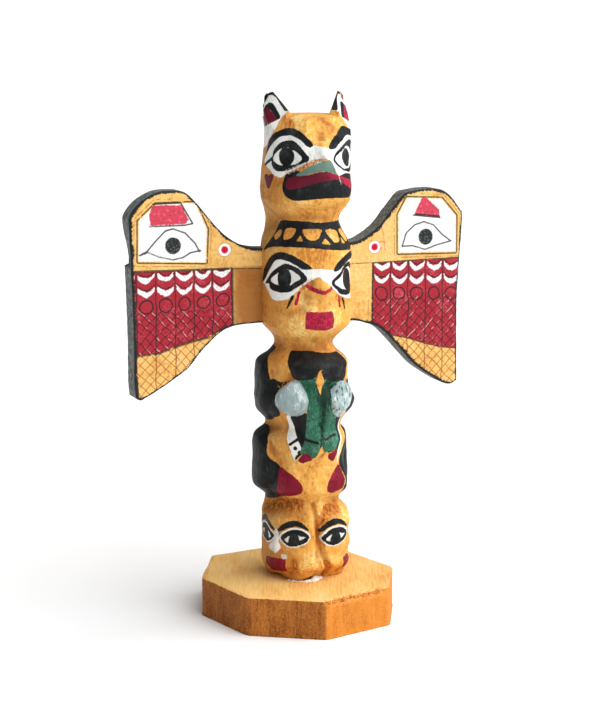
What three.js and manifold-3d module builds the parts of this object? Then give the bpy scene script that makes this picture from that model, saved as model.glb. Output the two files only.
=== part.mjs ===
// Small hand-carved souvenir totem pole: one carved and painted pole with a winged figure,
// glued to an octagonal wooden base, and two flat wings let into slots in the pole's sides.
// Units are millimetres and +Z is up. The figures look along -Y and the wings spread along X.
// The origin lies on the pole's axis, in the plane of the base's underside.
import * as THREE from 'three';
import { mergeVertices } from 'three/addons/utils/BufferGeometryUtils.js';
import Module from 'manifold-3d';

const wasm = await Module();
wasm.setup();

// ---------- driving dimensions ----------
// The base is an octagon sawn by eye, and the pole stands a little off its middle.
// Its corners go round it from the one nearest to +X.
const BASE_CORNERS = [
  [26.2, -4.9],
  [20.0, 18.6],
  [1.6, 30.8],
  [-20.2, 27.4],
  [-31.1, 5.6],
  [-25.6, -18.4],
  [-6.0, -30.8],
  [16.4, -24.5],
];
const BASE_THICKNESS = 11.4;
const BASE_EDGE = 0.4; // worn edge

const STOCK_HALF_WIDTH = 12.7; // the stick that the pole is carved from
const STOCK_FRONT = 12.9;
const STOCK_BACK = 12.0;
const SHOULDER_Z = 145.8; // where the carved sides turn in to the crown
const CROWN_RISE = 1.1;
const HEAD_SLOPES_Z = 139.5; // the head is cut back above this height
const LOWER_TWIST = -8; // degrees: the lower figures are carved a little off the wings' square
const TWIST_START_Z = 105;
const TWIST_END_Z = 55;

const EAR_TURN = 44; // degrees from the front to an ear's face
const EAR_FACE = 8.1; // from the axis to an ear's face at its foot
const EAR_FOOT_Z = 147.2;
const EAR_TIP_Z = 153.2;
const EAR_WIDTH = 8.1;
const EAR_INNER = 2.1; // from the middle of the forehead to an ear's inner end, along its face
const EAR_THICKNESS = 1.7;
const EAR_LEAN = 15; // degrees back from upright
const EAR_ROOT = 5; // how far the ear's block reaches down inside the head

const WING_REACH = 52; // from the pole's axis to a wing's outermost point
const WING_THICKNESS = 7.6;
const WING_FRONT_Y = 2.1; // the wings' front faces lie behind the pole's axis
const WING_SWEEP = 1; // degrees that each wing falls back
const WING_ROLL = 1.4; // degrees that the wings are out of level, the left one up
const WING_ROOT_X = 7.8; // how deep the root is let into the pole
const ROOT_BOTTOM_Z = 86;
const ROOT_TOP_Z = 108.3;
const WING_TIP_Z = 65.2;
const WING_TOP_Z = 124.5;
const JOINT_GAP = 0.3;

// ---------- resolution of the carved pole ----------
const COLUMNS = 50;
const FRONT_CROWDING = 0.32; // columns stand closer together on the carved front than at the back
const ROWS = 80;
const CROWN_RINGS = [0.94, 0.78, 0.52, 0.26];

// ---------- materials ----------
const finish = (color, roughness) => new THREE.MeshStandardMaterial({ color, roughness, metalness: 0 });
const baseWood = finish(0xc98a4b, 0.6);
const poleWood = finish(0xd7963f, 0.5);
const wingWood = finish(0xdfae66, 0.55);

// ---------- small mathematics ----------
const radians = THREE.MathUtils.degToRad;
const smooth = THREE.MathUtils.smoothstep;
const lerp = THREE.MathUtils.lerp;
const wrap = (degrees) => THREE.MathUtils.euclideanModulo(degrees + 180, 360) - 180;

// 1 in the middle, falling smoothly to 0 at a distance of 1
const bell = (distance) => (distance >= 1 ? 0 : 0.5 * (1 + Math.cos(Math.PI * distance)));

// 1 over most of its width, with rounded shoulders down to 0 at a distance of 1
const dome = (distance) => (distance >= 1 ? 0 : Math.sqrt(1 - distance ** 4) * (1 - distance ** 8));

// how far the carving's centre line has turned at a height
const twistAt = (z) => LOWER_TWIST * (1 - smooth(z, TWIST_END_Z, TWIST_START_Z));

// ---------- the pole: stock, grooves cut round it, and forms left standing ----------

// A groove cut round the pole: deepest at z, running out `down` below and `up` above it,
// with its own depth at the front, the sides and the back.
const grooves = [
  { name: 'foot', z: 11.4, down: 1, up: 4.5, front: 1.6, side: 1.9, back: 0.6 },
  { name: 'below the legs', z: 35, down: 5, up: 4, front: 2.2, side: 3.2, back: 0.2 },
  { name: 'lap', z: 47, down: 9, up: 9, front: 1, side: 0.4, back: 0 },
  { name: 'waist', z: 57.2, down: 4.4, up: 4.6, front: 1.2, side: 3.1, back: 0.3 },
  { name: 'lower neck', z: 80.8, down: 6, up: 6.4, front: 4.4, side: 5.2, back: 3.4 },
  { name: 'upper neck and collar', z: 116.4, down: 8.2, up: 7, front: 3.3, side: 3.5, back: 0.6 },
];

// A form left standing on the pole, as wide as `wide` degrees and as high as `high` mm each way
// from its middle. Where pair is true there is one on each side of the centre line.
const forms = [
  { name: 'lower face brow', at: 55, z: 29, wide: 34, high: 4.6, rise: 0.9, shape: bell, pair: true },
  { name: 'lower face eye', at: 38, z: 24.5, wide: 22, high: 4, rise: 0.5, shape: bell, pair: true },
  { name: 'lower face nose', at: 55, z: 22.2, wide: 10, high: 5, rise: 1.1, shape: bell, pair: true },
  { name: 'lower face mouth', at: 55, z: 16.6, wide: 20, high: 3.6, rise: 0.2, shape: bell, pair: true },
  { name: 'right lower cheek', at: 40, z: 25, wide: 24, high: 7, rise: 0.4, shape: dome },
  { name: 'cleft between the lower faces', at: 2, z: 22, wide: 10, high: 12.5, rise: -1.2, shape: bell },
  { name: 'apron', at: 0, z: 41, wide: 34, high: 7, rise: 0.5, shape: bell },
  { name: 'left leg', at: -104, z: 45.5, wide: 46, high: 11, rise: 2.9, shape: dome },
  { name: 'right leg', at: 122, z: 45.5, wide: 36, high: 11, rise: 2.2, shape: dome },
  { name: 'right jowl', at: 50, z: 17.5, wide: 30, high: 7, rise: -0.9, shape: bell },
  { name: 'foot cut back on the right', at: 24, z: 11.4, wide: 48, high: 5.5, rise: -3.6, shape: bell },
  { name: 'foot cut back on the left', at: -50, z: 11.4, wide: 44, high: 3.5, rise: -1.4, shape: bell },
  { name: 'side of the right lower face', at: 70, z: 25.5, wide: 26, high: 12, rise: -1.5, shape: bell },
  { name: 'right flank', at: 82, z: 47, wide: 44, high: 19, rise: -1.7, shape: bell },
  { name: 'knee', at: 38, z: 41.5, wide: 26, high: 7, rise: 1.3, shape: bell, pair: true },
  { name: 'left arm', at: -104, z: 67.8, wide: 44, high: 10.6, rise: 2, shape: dome },
  { name: 'right arm', at: 124, z: 67.8, wide: 36, high: 10.6, rise: 1.6, shape: dome },
  { name: 'right shoulder', at: 84, z: 72.5, wide: 40, high: 9, rise: -1.5, shape: bell },
  { name: 'left forearm', at: -64, z: 64, wide: 30, high: 5, rise: 1, shape: bell },
  { name: 'right forearm', at: 70, z: 64, wide: 26, high: 4.6, rise: 1.3, shape: bell },
  { name: 'hand', at: 32, z: 66.2, wide: 20, high: 5.2, rise: 2.7, shape: dome, pair: true },
  { name: 'chest block', at: 0, z: 75, wide: 38, high: 5.2, rise: 1.8, shape: dome },
  { name: 'held figure', at: 0, z: 60.5, wide: 22, high: 12.5, rise: 1.8, shape: dome },
  { name: 'crease of the held figure', at: 4, z: 61, wide: 6, high: 11, rise: -1.1, shape: bell },
  { name: 'middle eye hollow', at: 46, z: 101, wide: 24, high: 6, rise: -0.9, shape: bell, pair: true },
  { name: 'middle brow', at: 40, z: 106.4, wide: 36, high: 2.8, rise: 0.5, shape: bell, pair: true },
  { name: 'middle nose', at: 0, z: 97.5, wide: 17, high: 5.5, rise: 2.6, shape: bell },
  { name: 'nose wing', at: 13, z: 95.5, wide: 9, high: 3, rise: 0.8, shape: bell, pair: true },
  { name: 'nose fold', at: 27, z: 94, wide: 9, high: 5, rise: -0.5, shape: bell, pair: true },
  { name: 'middle muzzle', at: -1, z: 89, wide: 38, high: 6, rise: 1.5, shape: bell },
  { name: 'upper eye hollow', at: 46, z: 135.5, wide: 25, high: 6.4, rise: -0.9, shape: bell, pair: true },
  { name: 'upper brow', at: 40, z: 142, wide: 32, high: 3, rise: 0.5, shape: bell, pair: true },
  { name: 'left temple', at: -118, z: 140, wide: 44, high: 12, rise: -1.2, shape: bell },
  { name: 'jaw', at: 0, z: 125.6, wide: 62, high: 5.4, rise: 1.1, shape: dome },
  { name: 'beak', at: 0, z: 131.5, wide: 44, high: 5.5, rise: 2.6, shape: bell },
  { name: 'bridge of the beak', at: 0, z: 137, wide: 13, high: 6, rise: 1.2, shape: bell },
];

// the stick before carving: round in front, nearly flat behind with round corners
function stockRadius(azimuth) {
  const across = Math.abs(Math.sin(radians(azimuth))) / STOCK_HALF_WIDTH;
  const isFront = Math.abs(azimuth) < 90;
  const along = Math.abs(Math.cos(radians(azimuth))) / (isFront ? STOCK_FRONT : STOCK_BACK);
  const power = isFront ? 2.1 : 2.5;
  return (across ** power + along ** power) ** (-1 / power);
}

function grooveDepth(groove, azimuth, z) {
  const reach = z < groove.z ? groove.down : groove.up;
  const turn = Math.abs(azimuth);
  const around = turn < 90
    ? lerp(groove.front, groove.side, Math.sin(radians(turn)) ** 2)
    : lerp(groove.side, groove.back, smooth(turn, 90, 140));
  return around * bell(Math.abs(z - groove.z) / reach);
}

function formRise(form, azimuth, z) {
  const sides = form.pair ? [-1, 1] : [1];
  const up = (z - form.z) / form.high;
  return sides.reduce((rise, side) => {
    const round = wrap(azimuth - twistAt(z) - side * form.at) / form.wide;
    return rise + form.rise * form.shape(Math.hypot(round, up));
  }, 0);
}

// The head is cut back by one slope in front and one under each ear, up to the crown.
function headSlope(azimuth, z) {
  const slopes = [
    { turn: 0, foot: 140, distance: 12.6, back: 0.42 },
    { turn: EAR_TURN, foot: 139.8, distance: 12.6, back: 0.5 },
    { turn: -EAR_TURN, foot: 140.5, distance: 12.6, back: 0.53 },
  ];
  const cuts = slopes.map(({ turn, foot, distance, back }) => {
    const facing = Math.cos(radians(wrap(azimuth - turn)));
    const plane = distance - back * Math.max(0, z - foot);
    return facing > 0.3 ? plane / facing : Infinity;
  });
  return z > HEAD_SLOPES_Z ? Math.min(...cuts) : Infinity;
}

function poleRadius(azimuth, z) {
  const cut = grooves.reduce((sum, groove) => sum + grooveDepth(groove, azimuth, z), 0);
  const rise = forms.reduce((sum, form) => sum + formRise(form, azimuth, z), 0);
  return Math.min(stockRadius(azimuth) - cut + rise, headSlope(azimuth, z));
}

const ringPoint = (azimuth, radius, z) => [
  radius * Math.sin(radians(azimuth)),
  -radius * Math.cos(radians(azimuth)),
  z,
];

// column 0 stands at the back, so that the seam of the grid is hidden
function columnAzimuth(column) {
  const turn = (column / COLUMNS) * 2 - 1;
  return 180 * (turn + (FRONT_CROWDING / Math.PI) * -Math.sin(Math.PI * turn));
}

// A closed body from rings of points, lowest first, ending in a point at each end
function lathedRings(rings, bottom, top) {
  const count = rings[0].length;
  const positions = [...rings.flat(), bottom, top];
  const at = (ring, column) => ring * count + (column % count);
  const faces = [];
  for (let ring = 0; ring + 1 < rings.length; ring++) {
    for (let column = 0; column < count; column++) {
      const [a, b] = [at(ring, column), at(ring, column + 1)];
      const [c, d] = [at(ring + 1, column + 1), at(ring + 1, column)];
      faces.push(a, b, c, a, c, d);
    }
  }
  const last = rings.length - 1;
  for (let column = 0; column < count; column++) {
    faces.push(at(0, column + 1), at(0, column), positions.length - 2);
    faces.push(at(last, column), at(last, column + 1), positions.length - 1);
  }
  const geometry = new THREE.BufferGeometry();
  geometry.setAttribute('position', new THREE.Float32BufferAttribute(positions.flat(), 3));
  geometry.setIndex(faces);
  return geometry;
}

function carvedColumn() {
  const azimuths = Array.from({ length: COLUMNS }, (_, column) => columnAzimuth(column));
  const rings = [];
  for (let row = 0; row <= ROWS; row++) {
    const z = lerp(BASE_THICKNESS, SHOULDER_Z, row / ROWS);
    rings.push(azimuths.map((azimuth) => ringPoint(azimuth, poleRadius(azimuth, z), z)));
  }
  for (const share of CROWN_RINGS) {
    const z = SHOULDER_Z + CROWN_RISE * (1 - share ** 3);
    const reach = (azimuth) => share * poleRadius(azimuth, SHOULDER_Z);
    rings.push(azimuths.map((azimuth) => ringPoint(azimuth, reach(azimuth), z)));
  }
  return lathedRings(rings, [0, 0, BASE_THICKNESS], [0, 0, SHOULDER_Z + CROWN_RISE]);
}

// One ear: a thin triangle with a blunt tip, its block reaching down into the head
function earBlock(side) {
  const height = EAR_TIP_Z - EAR_FOOT_Z;
  const outline = new THREE.Shape();
  outline.moveTo(0, -EAR_ROOT);
  outline.lineTo(EAR_WIDTH - 3.2, -EAR_ROOT);
  outline.lineTo(EAR_WIDTH, -0.3);
  outline.lineTo(EAR_WIDTH, 0.6 * height);
  outline.quadraticCurveTo(EAR_WIDTH - 0.2, 0.9 * height, EAR_WIDTH - 1.2, 0.94 * height);
  outline.quadraticCurveTo(EAR_WIDTH - 2.6, height, EAR_WIDTH - 3, height);
  outline.lineTo(0, 0);
  const geometry = new THREE.ExtrudeGeometry(outline, {
    depth: EAR_THICKNESS,
    bevelEnabled: false,
    curveSegments: 3,
  });
  geometry.rotateX(Math.PI / 2); // the outline stands up and its thickness lies along -Y
  geometry.translate(EAR_INNER, EAR_THICKNESS, 0);
  geometry.rotateX(radians(-EAR_LEAN));
  geometry.translate(0, -EAR_FACE, EAR_FOOT_Z);
  geometry.rotateZ(radians(EAR_TURN));
  if (side < 0) mirrorAcrossX(geometry);
  return geometry;
}

function mirrorAcrossX(geometry) {
  geometry.scale(-1, 1, 1);
  if (!geometry.index) geometry.setIndex([...geometry.attributes.position.array.keys()]
    .slice(0, geometry.attributes.position.count));
  const index = geometry.index.array;
  for (let corner = 0; corner < index.length; corner += 3) {
    [index[corner], index[corner + 1]] = [index[corner + 1], index[corner]];
  }
}

// ---------- joins and cuts ----------
function toSolid(geometry) {
  const bare = geometry.clone();
  for (const name of Object.keys(bare.attributes)) {
    if (name !== 'position') bare.deleteAttribute(name);
  }
  const merged = mergeVertices(bare, 1e-4);
  const vertProperties = new Float32Array(merged.attributes.position.array);
  const triVerts = new Uint32Array(merged.index.array);
  return new wasm.Manifold(new wasm.Mesh({ numProp: 3, vertProperties, triVerts }));
}

function toGeometry(solid) {
  const mesh = solid.getMesh();
  const geometry = new THREE.BufferGeometry();
  geometry.setAttribute('position', new THREE.Float32BufferAttribute(mesh.vertProperties, 3));
  geometry.setIndex(new THREE.Uint32BufferAttribute(mesh.triVerts, 1));
  geometry.computeVertexNormals();
  return geometry;
}

// ---------- wings ----------

// The outline of the right wing in its own plane: u runs outwards from the pole's axis.
function wingOutline() {
  const outline = new THREE.Shape();
  outline.moveTo(WING_ROOT_X, ROOT_BOTTOM_Z);
  outline.lineTo(16.5, ROOT_BOTTOM_Z);
  outline.bezierCurveTo(22.5, 85.8, 26.5, 82.6, 29.5, 79.5);
  outline.bezierCurveTo(33, 75.7, 35.2, 72.4, 39.7, 69.2);
  outline.bezierCurveTo(43.2, 66.8, 46.5, 65.5, 49.2, WING_TIP_Z);
  outline.quadraticCurveTo(WING_REACH - 1.2, WING_TIP_Z, WING_REACH - 1.2, WING_TIP_Z + 1.4);
  outline.bezierCurveTo(WING_REACH - 1.5, 80, WING_REACH - 1.2, 96, WING_REACH - 0.9, 108);
  outline.quadraticCurveTo(WING_REACH - 0.6, 113, WING_REACH, 116.4);
  outline.bezierCurveTo(WING_REACH - 1.8, 120, 46.6, 124, 40.8, WING_TOP_Z);
  outline.bezierCurveTo(37, WING_TOP_Z, 34.3, 123.8, 32.3, 121.9);
  outline.bezierCurveTo(29.6, 118.8, 27.9, 115.7, 25.2, 113.4);
  outline.bezierCurveTo(22.4, 111, 18.6, 109, 13, ROOT_TOP_Z);
  outline.lineTo(WING_ROOT_X, ROOT_TOP_Z);
  return outline;
}

// Sets a wing, or its slot, at the pole's axis: swept back a little, and rolled about the
// point where the wings' middle line meets the axis.
function placeAsWing(geometry, side) {
  geometry.rotateZ(radians(WING_SWEEP));
  geometry.translate(0, WING_FRONT_Y, 0);
  if (side < 0) mirrorAcrossX(geometry);
  const middle = (ROOT_TOP_Z + ROOT_BOTTOM_Z) / 2;
  geometry.translate(0, 0, -middle);
  geometry.rotateY(radians(WING_ROLL));
  geometry.translate(0, 0, middle);
  return geometry;
}

function wingBoard(side) {
  const geometry = new THREE.ExtrudeGeometry(wingOutline(), {
    depth: WING_THICKNESS,
    bevelEnabled: false,
    curveSegments: 7,
  });
  geometry.rotateX(Math.PI / 2); // the outline stands up and its thickness lies along -Y
  geometry.translate(0, WING_THICKNESS, 0);
  return placeAsWing(geometry, side);
}

// The slot that a wing's root is glued into, a little larger all round than the root
function wingSlot(side) {
  const depth = STOCK_HALF_WIDTH * 2;
  const geometry = new THREE.BoxGeometry(
    depth,
    WING_THICKNESS + 2 * JOINT_GAP,
    ROOT_TOP_Z - ROOT_BOTTOM_Z + 2 * JOINT_GAP,
  );
  geometry.translate(
    depth / 2 + WING_ROOT_X - JOINT_GAP,
    WING_THICKNESS / 2,
    (ROOT_TOP_Z + ROOT_BOTTOM_Z) / 2,
  );
  return placeAsWing(geometry, side);
}

// ---------- base ----------
function octagonalBase() {
  const outline = new THREE.Shape(BASE_CORNERS.map(([x, y]) => {
    const share = 1 - BASE_EDGE / Math.hypot(x, y);
    return new THREE.Vector2(x * share, y * share);
  }));
  const geometry = new THREE.ExtrudeGeometry(outline, {
    depth: BASE_THICKNESS - 2 * BASE_EDGE,
    bevelThickness: BASE_EDGE,
    bevelSize: BASE_EDGE,
    bevelSegments: 1,
  });
  geometry.translate(0, 0, BASE_EDGE);
  return geometry;
}

// ---------- the object ----------
function addPiece(group, name, geometry, material) {
  const piece = new THREE.Mesh(geometry, material);
  piece.name = name;
  group.add(piece);
}

const totem = new THREE.Group();

addPiece(totem, 'base', octagonalBase(), baseWood);

const pole = [-1, 1].reduce(
  (solid, side) => solid.add(toSolid(earBlock(side))).subtract(toSolid(wingSlot(side))),
  toSolid(carvedColumn()),
);
addPiece(totem, 'pole', toGeometry(pole), poleWood);

addPiece(totem, 'left_wing', wingBoard(-1), wingWood);
addPiece(totem, 'right_wing', wingBoard(1), wingWood);

export default totem;
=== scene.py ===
"""The looks of a small carved and painted wooden totem pole with two wings on an octagonal base.

Lengths are in millimetres until a mesh is made, where they turn into the frame's metres.
A place on the pole is (s, z): s runs round the front in millimetres on a 13 mm radius, to the
right of the middle, and z is the height above the table. A place on an ear is (a, z): a runs
along the ear's face, outwards. A place on a wing is (u, z): u runs outwards from the pole's axis.
A painted shape is a signed distance in millimetres, below zero inside the shape. It is kept on
the mesh's points, and the material turns it into paint with a brushed edge.

Heights on the pole: two lower faces from 11 to 35, legs to 57, arms and chest to 80, the middle
head from 84 to 107, a collar to 117, the upper head from 121 to 146, and ears above it. The
figure that the hands hold reaches from 47 to 73.
"""
import math

import bpy
import numpy as np
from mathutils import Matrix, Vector


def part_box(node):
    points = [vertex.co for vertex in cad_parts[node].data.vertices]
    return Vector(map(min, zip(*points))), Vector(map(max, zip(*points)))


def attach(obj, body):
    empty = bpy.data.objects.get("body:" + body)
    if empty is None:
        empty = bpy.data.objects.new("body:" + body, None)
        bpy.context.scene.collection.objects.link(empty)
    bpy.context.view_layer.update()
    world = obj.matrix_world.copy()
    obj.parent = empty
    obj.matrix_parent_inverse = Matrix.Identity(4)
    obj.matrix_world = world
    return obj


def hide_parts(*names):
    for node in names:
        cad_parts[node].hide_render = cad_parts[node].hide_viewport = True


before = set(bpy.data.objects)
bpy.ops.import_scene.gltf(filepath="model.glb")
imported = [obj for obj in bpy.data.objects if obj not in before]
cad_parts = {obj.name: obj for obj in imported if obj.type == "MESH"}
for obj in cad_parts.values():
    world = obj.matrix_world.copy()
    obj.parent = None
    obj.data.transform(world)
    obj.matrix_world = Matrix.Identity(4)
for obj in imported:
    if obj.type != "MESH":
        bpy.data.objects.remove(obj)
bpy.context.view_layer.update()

MM = 0.001
ROUND = 13.0  # the radius that s is measured on
FAR = 99.0


def lowest(node):
    return np.array(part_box(node)[0]) / MM


def highest(node):
    return np.array(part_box(node)[1]) / MM


# ---------- places taken from the frame ----------
BASE_TOP = highest("base")[2]
BASE_MIDDLE = (lowest("base") + highest("base")) / 2
POLE_FOOT = lowest("pole")[2]
EAR_TIP = highest("pole")[2]
WING_FRONT = lowest("right_wing")[1]
WING_ROOT = lowest("right_wing")[0]
WING_OUTER = (highest("right_wing")[0] - lowest("left_wing")[0]) / 2
WING_LOW = lowest("right_wing")[2]
WING_HIGH = highest("right_wing")[2]

# ---------- the camera ----------
CAMERA_AZIMUTH = -22.0
CAMERA_DISTANCE = 583.0
CAMERA_HEIGHT = 178.8
CAMERA_PITCH = 10.08
CAMERA_LENS = 101.5
CAMERA_SHIFT = -0.0083


def make_camera():
    turn = math.radians(CAMERA_AZIMUTH)
    data = bpy.data.cameras.new("photo_camera")
    data.lens = CAMERA_LENS
    data.sensor_width = 36.0
    data.shift_x = CAMERA_SHIFT
    data.clip_start = 0.01
    data.clip_end = 2000
    camera = bpy.data.objects.new("photo_camera", data)
    across, back = math.sin(turn) * CAMERA_DISTANCE, -math.cos(turn) * CAMERA_DISTANCE
    camera.location = (across * MM, back * MM, CAMERA_HEIGHT * MM)
    camera.rotation_euler = (math.radians(90 - CAMERA_PITCH), 0, turn)
    bpy.context.scene.collection.objects.link(camera)
    bpy.context.scene.camera = camera


# ---------- small mathematics ----------
def smooth(x, low, high):
    t = np.clip((x - low) / (high - low), 0, 1)
    return t * t * (3 - 2 * t)


def bell(d):
    return np.where(d < 1, 0.5 * (1 + np.cos(np.pi * np.minimum(d, 1))), 0)


def dome(d):
    d = np.minimum(d, 1)
    return np.sqrt(1 - d**4) * (1 - d**8)


def wrapped(degrees):
    return (degrees + 180) % 360 - 180


def around_axis(azimuth, radius):
    """The x and y of places at these azimuths and distances from the pole's axis."""
    turn = np.radians(azimuth)
    return radius * np.sin(turn), -radius * np.cos(turn)


def soft_noise(x, y, seed):
    """Smooth noise from -1 to 1, with one random value at each whole x and y."""
    values = np.random.default_rng(seed).random((256, 256)) * 2 - 1
    i, j = np.floor(x).astype(int), np.floor(y).astype(int)
    fx, fy = x - i, y - j
    fx, fy = fx * fx * (3 - 2 * fx), fy * fy * (3 - 2 * fy)
    low = values[j % 256, i % 256] * (1 - fx) + values[j % 256, (i + 1) % 256] * fx
    high = values[(j + 1) % 256, i % 256] * (1 - fx) + values[(j + 1) % 256, (i + 1) % 256] * fx
    return low * (1 - fy) + high * fy


def nearest_spot(x, y, seed):
    """Distance, in cells, to the nearest of one random spot in each cell."""
    spots = np.random.default_rng(seed).random((256, 256, 2))
    i, j = np.floor(x).astype(int), np.floor(y).astype(int)
    best = np.full(np.shape(x), 9.0)
    for across in (-1, 0, 1):
        for up in (-1, 0, 1):
            spot = spots[(j + up) % 256, (i + across) % 256]
            dx, dy = i + across + spot[..., 0] - x, j + up + spot[..., 1] - y
            best = np.minimum(best, dx * dx + dy * dy)
    return np.sqrt(best)


# ---------- drawn shapes: signed distances, below zero inside ----------
def rounded(points, steps=5):
    """A smooth closed line through the points."""
    p = np.array(points, float)
    t = np.arange(steps)[:, None] / steps
    before, after, beyond = np.roll(p, 1, 0), np.roll(p, -1, 0), np.roll(p, -2, 0)
    lines = []
    for a, b, c, d in zip(before, p, after, beyond):
        bend = (2 * a - 5 * b + 4 * c - d) * t**2 + (3 * b - a - 3 * c + d) * t**3
        lines.append(b + 0.5 * ((c - a) * t + bend))
    return np.concatenate(lines)


def segment_distance(x, y, a, b):
    along, across = b[0] - a[0], b[1] - a[1]
    share = ((x - a[0]) * along + (y - a[1]) * across) / max(along**2 + across**2, 1e-9)
    share = np.clip(share, 0, 1)
    return np.hypot(x - a[0] - share * along, y - a[1] - share * across), share


def patch(points, sharp=False):
    """A filled outline, with its corners rounded unless it is sharp."""
    line = np.array(points, float) if sharp else rounded(points)

    def distance(x, y):
        result = np.full(np.shape(x), FAR)
        near = (x > line[:, 0].min() - 2.5) & (x < line[:, 0].max() + 2.5)
        near &= (y > line[:, 1].min() - 2.5) & (y < line[:, 1].max() + 2.5)
        px, py = x[near], y[near]
        best, inside = np.full(px.shape, FAR), np.zeros(px.shape, bool)
        for a, b in zip(line, np.roll(line, -1, 0)):
            best = np.minimum(best, segment_distance(px, py, a, b)[0])
            if a[1] != b[1]:
                crosses = (a[1] > py) != (b[1] > py)
                inside ^= crosses & (px < (b[0] - a[0]) * (py - a[1]) / (b[1] - a[1]) + a[0])
        result[near] = np.where(inside, -best, best)
        return result

    return distance


def stroke(points, width):
    """A line drawn with a brush as wide as width, or as each of the widths at the points."""
    widths = np.broadcast_to(width, len(points))

    def distance(x, y):
        best = np.full(np.shape(x), FAR)
        for a, b, wide, then in zip(points, points[1:], widths, widths[1:]):
            away, share = segment_distance(x, y, a, b)
            best = np.minimum(best, away - (wide + (then - wide) * share) / 2)
        return best

    return distance


def spot(x0, y0, wide, high):
    """An oval, as wide and high as given each way from its middle."""
    return lambda x, y: (np.hypot((x - x0) / wide, (y - y0) / high) - 1) * min(wide, high)


def union(shapes, x, y):
    best = np.full(np.shape(x), FAR)
    for shape in shapes:
        best = np.minimum(best, shape(x, y))
    return best


def without(kept, *holes):
    for hole in holes:
        kept = np.maximum(kept, -hole)
    return kept


def mirrored(points, about):
    return [(2 * about - s, z) for s, z in points]


# ---------- the carving of the pole ----------
STOCK_HALF_WIDTH = 12.7
STOCK_FRONT = 12.9
STOCK_BACK = 12.0
SHOULDER = 145.8
CROWN_RISE = 1.1
LOWER_TWIST = -8.0  # degrees that the lower figures are turned by
TWIST_ENDS = (55, 105)  # heights between which the pole turns straight
SLOPES_FROM = 139.5  # the height from which the head is cut back
EAR_TURN = 44.0
EAR_FACE = 8.1
EAR_FOOT = 147.2
EAR_INNER = 2.1
EAR_WIDTH = 8.05
EAR_THICKNESS = 0.7
EAR_LEAN = 0.27
# the flat cuts round the crown: azimuth, height where it starts, distance from the axis there, slope
HEAD_SLOPES = [(0, 140.0, 12.6, 0.42), (-44, 140.5, 12.6, 0.53), (44, 139.8, 12.6, 0.5)]

# name, height, reach down and up from it, and depth in front, at the sides and at the back
GROOVES = [
    ("foot", 11.4, 1, 4.5, 1.6, 1.9, 0.6),
    ("below the legs", 35, 5, 4, 2.2, 3.2, 0.2),
    ("lap", 47, 9, 9, 1.0, 0.4, 0),
    ("waist", 57.2, 4.4, 4.6, 1.2, 3.1, 0.3),
    ("lower neck", 80.8, 6, 6.4, 4.4, 5.2, 3.4),
    ("upper neck", 116.4, 8.2, 7, 3.3, 3.5, 0.6),
]

ONE, BOTH = (1,), (-1, 1)  # a form as given, or on both sides
# name, azimuth and height of the middle, half width in degrees, half height, how far it stands
# out, profile, and whether it is on both sides
FORMS = [
    ("lower brow", 55, 29, 34, 4.6, 0.9, bell, BOTH),
    ("lower eye", 38, 24.5, 22, 4, 0.5, bell, BOTH),
    ("lower nose", 55, 22.2, 10, 5, 1.1, bell, BOTH),
    ("lower mouth", 55, 16.6, 20, 3.6, 0.2, bell, BOTH),
    ("right cheek", 40, 25, 24, 7, 0.4, dome, ONE),
    ("cleft", 2, 22, 10, 12.5, -1.2, bell, ONE),
    ("apron", 0, 41, 34, 7, 0.5, bell, ONE),
    ("left leg", -104, 45.5, 46, 11, 2.9, dome, ONE),
    ("right leg", 122, 45.5, 36, 11, 2.2, dome, ONE),
    ("right jowl", 50, 17.5, 30, 7, -0.9, bell, ONE),
    ("right foot", 24, 11.4, 48, 5.5, -3.6, bell, ONE),
    ("left foot", -50, 11.4, 44, 5, -0.8, bell, ONE),
    ("right face side", 70, 25.5, 26, 12, -1.5, bell, ONE),
    ("right flank", 82, 47, 44, 19, -1.7, bell, ONE),
    ("knee", 38, 41.5, 26, 7, 1.3, bell, BOTH),
    ("left arm", -104, 67.8, 44, 10.6, 2.0, dome, ONE),
    ("right arm", 124, 67.8, 36, 10.6, 1.6, dome, ONE),
    ("right shoulder", 84, 72.5, 40, 9, -1.5, bell, ONE),
    ("left forearm", -64, 64, 30, 5, 1.0, bell, ONE),
    ("right forearm", 70, 64, 26, 4.6, 1.3, bell, ONE),
    ("hand", 32, 66.2, 20, 5.2, 2.7, dome, BOTH),
    ("chest", 0, 75, 38, 5.2, 1.8, dome, ONE),
    ("held figure", 0, 60.5, 22, 12.5, 1.8, dome, ONE),
    ("crease", 4, 61, 6, 11, -1.1, bell, ONE),
    ("middle eye", 46, 101, 24, 6, -0.9, bell, BOTH),
    ("middle brow", 40, 106.4, 36, 2.8, 0.5, bell, BOTH),
    ("middle nose", 0, 97.5, 17, 5.5, 2.6, bell, ONE),
    ("nose wing", 13, 95.5, 9, 3, 0.8, bell, BOTH),
    ("nose fold", 27, 94, 9, 5, -0.5, bell, BOTH),
    ("middle muzzle", -1, 89, 38, 6, 1.5, bell, ONE),
    ("upper eye", 46, 135.5, 25, 6.4, -0.9, bell, BOTH),
    ("upper brow", 40, 142, 32, 3, 0.5, bell, BOTH),
    ("left temple", -118, 140, 44, 12, -1.2, bell, ONE),
    ("jaw", 0, 125.6, 62, 5.4, 1.1, dome, ONE),
    ("beak", 0, 131.5, 44, 5.5, 2.6, bell, ONE),
    ("bridge", 0, 137, 13, 6, 1.2, bell, ONE),
]


def twist_at(z):
    return LOWER_TWIST * (1 - smooth(z, *TWIST_ENDS))


def stock_radius(azimuth):
    front = np.abs(azimuth) < 90
    across = np.abs(np.sin(np.radians(azimuth))) / STOCK_HALF_WIDTH
    along = np.abs(np.cos(np.radians(azimuth))) / np.where(front, STOCK_FRONT, STOCK_BACK)
    power = np.where(front, 2.1, 2.5)
    return (across**power + along**power) ** (-1 / power)


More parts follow.
